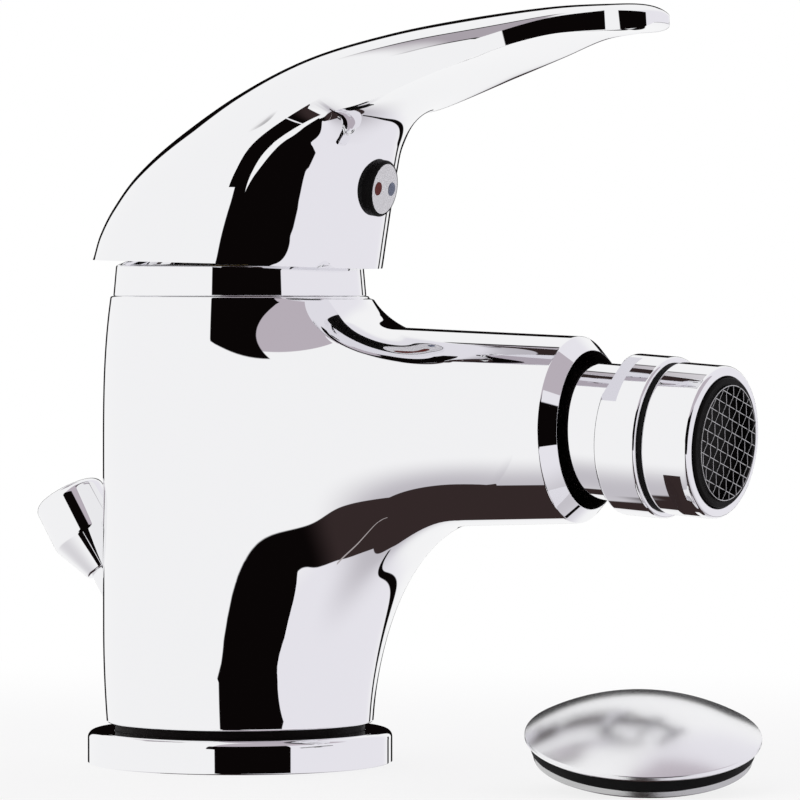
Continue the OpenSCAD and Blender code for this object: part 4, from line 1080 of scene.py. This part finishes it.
class MIXER_OT_stage(bpy.types.Operator):
    """Builds the studio round the part: a white room with a dark side, a pale floor and the camera"""
    bl_idname = "mixer.stage"
    bl_label = "Stage"

    def execute(self, context):
        s = context.scene.mixer_stage
        self.room(context.scene, s)
        self.floor(s)
        self.camera(context.scene, s)
        context.scene.view_settings.view_transform = "Standard"
        return {"FINISHED"}

    def room(self, scene, s):
        """White walls that shade towards a dark ground, with dark sides behind the camera and the part."""
        world = bpy.data.worlds.new("Studio")
        world.use_nodes = True
        scene.world = world
        n = Nodes(world.node_tree)
        split = n.add("ShaderNodeSeparateXYZ")
        n.feed(split.inputs[0], n.add("ShaderNodeTexCoord").outputs["Generated"])
        x, y, z = split.outputs
        cosine, sine = math.cos(s.azimuth), math.sin(s.azimuth)
        ahead = n.math("SUBTRACT", n.math("MULTIPLY", x, sine), n.math("MULTIPLY", y, cosine))
        aside = n.math("ADD", n.math("MULTIPLY", x, cosine), n.math("MULTIPLY", y, sine))
        bearing = n.math("ARCTAN2", aside, ahead)
        turned_back = n.math("ARCTAN2", n.math("MULTIPLY", aside, -1), n.math("MULTIPLY", ahead, -1))
        rise = n.math("ARCSINE", z)
        swing = n.math("ARCTAN2", y, z)

        walls = n.mix(n.band(bearing, s.right_span, s.right_soft), (*s.wall, 1), (*s.right_wall, 1))
        walls = n.mix(n.ramp(rise, *s.shade_span), walls, (*s.shade, 1))
        top = n.curve(bearing, np.radians(GROUND_TOP).tolist())
        left, right, corner, seam = (n.curve(rise, np.radians(border).tolist())
                                     for border in (DARK_LEFT, DARK_RIGHT, FAR_CORNER, SEAM))
        walls = n.mix(n.ramp(n.math("SUBTRACT", top, rise), 0, s.soft), walls, (*s.ground, 1))
        off = n.math("ABSOLUTE", n.math("SUBTRACT", bearing, corner))
        strip = n.ramp(off, s.corner_half + s.soft, s.corner_half)
        strip = n.both(strip, n.band(rise, s.corner_rise, s.soft))
        walls = n.mix(strip, walls, (*s.panel, 1))
        walls = n.mix(n.both(n.band(bearing, s.board_span, s.soft), n.band(rise, s.board_rise, s.soft)),
                      walls, (*s.board, 1))

        near = n.both(n.ramp(x, *GAP_BACK), n.ramp(x, *GAP_FRONT))
        walls = n.mix(n.both(near, n.band(swing, s.gap_span, s.gap_line)), walls, (*s.gap, 1))
        for border in s.gap_span:
            off = n.math("ABSOLUTE", n.math("SUBTRACT", swing, border))
            line = n.ramp(off, s.gap_line, s.gap_line / 2)
            walls = n.mix(n.both(near, line), walls, (*s.panel, 1))

        front = n.both(n.ramp(n.math("SUBTRACT", bearing, left), 0, s.soft),
                       n.ramp(n.math("SUBTRACT", right, bearing), 0, s.soft))
        front = n.both(front, n.ramp(rise, s.panel_top + s.soft, s.panel_top))
        behind = n.both(n.band(turned_back, [a - math.pi for a in s.back_span], s.soft),
                        n.band(rise, s.back_rise, s.soft))
        dark = n.mix(n.ramp(rise, *s.dark_foot), (*s.panel, 1), (*s.ground, 1))
        walls = n.mix(n.math("MAXIMUM", front, behind), walls, dark)
        off = n.math("ABSOLUTE", n.math("SUBTRACT", bearing, seam))
        line = n.both(n.ramp(off, s.seam_half + s.soft, s.seam_half), n.band(rise, s.seam_rise, s.soft))
        walls = n.mix(line, walls, (*s.seam, 1))
        seen = n.add("ShaderNodeLightPath").outputs["Is Camera Ray"]
        n.feed(world.node_tree.nodes["Background"].inputs["Color"], n.mix(seen, walls, (1, 1, 1, 1)))

    def floor(self, s):
        """A pale floor, white to the camera but for the part's soft shadow. Reflections look through it."""
        bpy.ops.mesh.primitive_plane_add(size=s.floor_size)
        plane = bpy.context.object
        plane.name = "floor"
        plane.visible_glossy = False
        material = bpy.data.materials.new("pale floor")
        material.use_nodes = True
        n = Nodes(material.node_tree)
        shader = n.tree.nodes["Principled BSDF"]
        shader.inputs["Base Color"].default_value = (*s.floor, 1)
        shader.inputs["Roughness"].default_value = s.floor_rough
        mix = n.add("ShaderNodeMixShader")
        place = n.add("ShaderNodeVectorMath", operation="LENGTH")
        n.feed(place.inputs[0], n.add("ShaderNodeTexCoord").outputs["Object"])
        faded = n.ramp(place.outputs["Value"], s.shadow_near, s.shadow_far)
        glow = n.math("MULTIPLY_ADD", faded, 1 - s.shadow_glow, s.shadow_glow)
        n.feed(mix.inputs[0], n.both(n.add("ShaderNodeLightPath").outputs["Is Camera Ray"], glow))
        n.feed(mix.inputs[1], shader.outputs[0])
        n.feed(mix.inputs[2], n.add("ShaderNodeEmission").outputs[0])
        n.feed(n.tree.nodes["Material Output"].inputs["Surface"], mix.outputs[0])
        plane.data.materials.append(material)

    def camera(self, scene, s):
        """A camera level with the column's top, turned so that the axis lies at its place in the picture."""
        data = bpy.data.cameras.new("camera")
        camera = bpy.data.objects.new("camera", data)
        scene.collection.objects.link(camera)
        data.sensor_width = SENSOR
        data.lens = SENSOR * s.focal
        data.clip_start = 10 * MM
        away = Vector((math.sin(s.azimuth), -math.cos(s.azimuth), 0))
        right = Vector((math.cos(s.azimuth), math.sin(s.azimuth), 0))
        camera.location = away * s.distance + Vector((0, 0, s.height))
        aside, below = (0.5 - place for place in s.axis_at)
        aim = -away + right * aside / s.focal - Vector((0, 0, below)) / s.focal
        camera.rotation_euler = aim.to_track_quat("-Z", "Y").to_euler()
        scene.camera = camera


class MIXER_PT_panel(bpy.types.Panel):
    """Lists the mixer's steps and sizes"""
    bl_label = "Bidet mixer"
    bl_idname = "MIXER_PT_panel"
    bl_space_type = "VIEW_3D"
    bl_region_type = "UI"
    bl_category = "Mixer"

    def draw(self, context):
        for step in STEPS:
            self.layout.operator(step.bl_idname)
        for name, group in GROUPS.items():
            box = self.layout.box()
            box.label(text=group.__doc__)
            for key in group.__annotations__:
                box.prop(getattr(context.scene, name), key)


GROUPS = {
    "mixer_body": BodySizes, "mixer_lever": LeverSizes, "mixer_outlet": OutletSizes, "mixer_rod": RodSizes,
    "mixer_plug": PlugSizes, "mixer_finishes": Finishes, "mixer_stage": StageSizes,
}
STEPS = (MIXER_OT_body, MIXER_OT_lever, MIXER_OT_outlet, MIXER_OT_rod, MIXER_OT_plug, MIXER_OT_inner,
         MIXER_OT_stage)


def register():
    for name, group in GROUPS.items():
        bpy.utils.register_class(group)
        setattr(bpy.types.Scene, name, bpy.props.PointerProperty(type=group))
    for step in (*STEPS, MIXER_PT_panel):
        bpy.utils.register_class(step)


def unregister():
    for step in (MIXER_PT_panel, *reversed(STEPS)):
        bpy.utils.unregister_class(step)
    for name, group in reversed(GROUPS.items()):
        delattr(bpy.types.Scene, name)
        bpy.utils.unregister_class(group)


def main():
    """Registers the classes and runs the steps in order."""
    register()
    bpy.ops.mixer.body()
    bpy.ops.mixer.lever()
    bpy.ops.mixer.outlet()
    bpy.ops.mixer.rod()
    bpy.ops.mixer.plug()
    bpy.ops.mixer.inner()
    bpy.ops.mixer.stage()


if __name__ == "__main__":
    main()
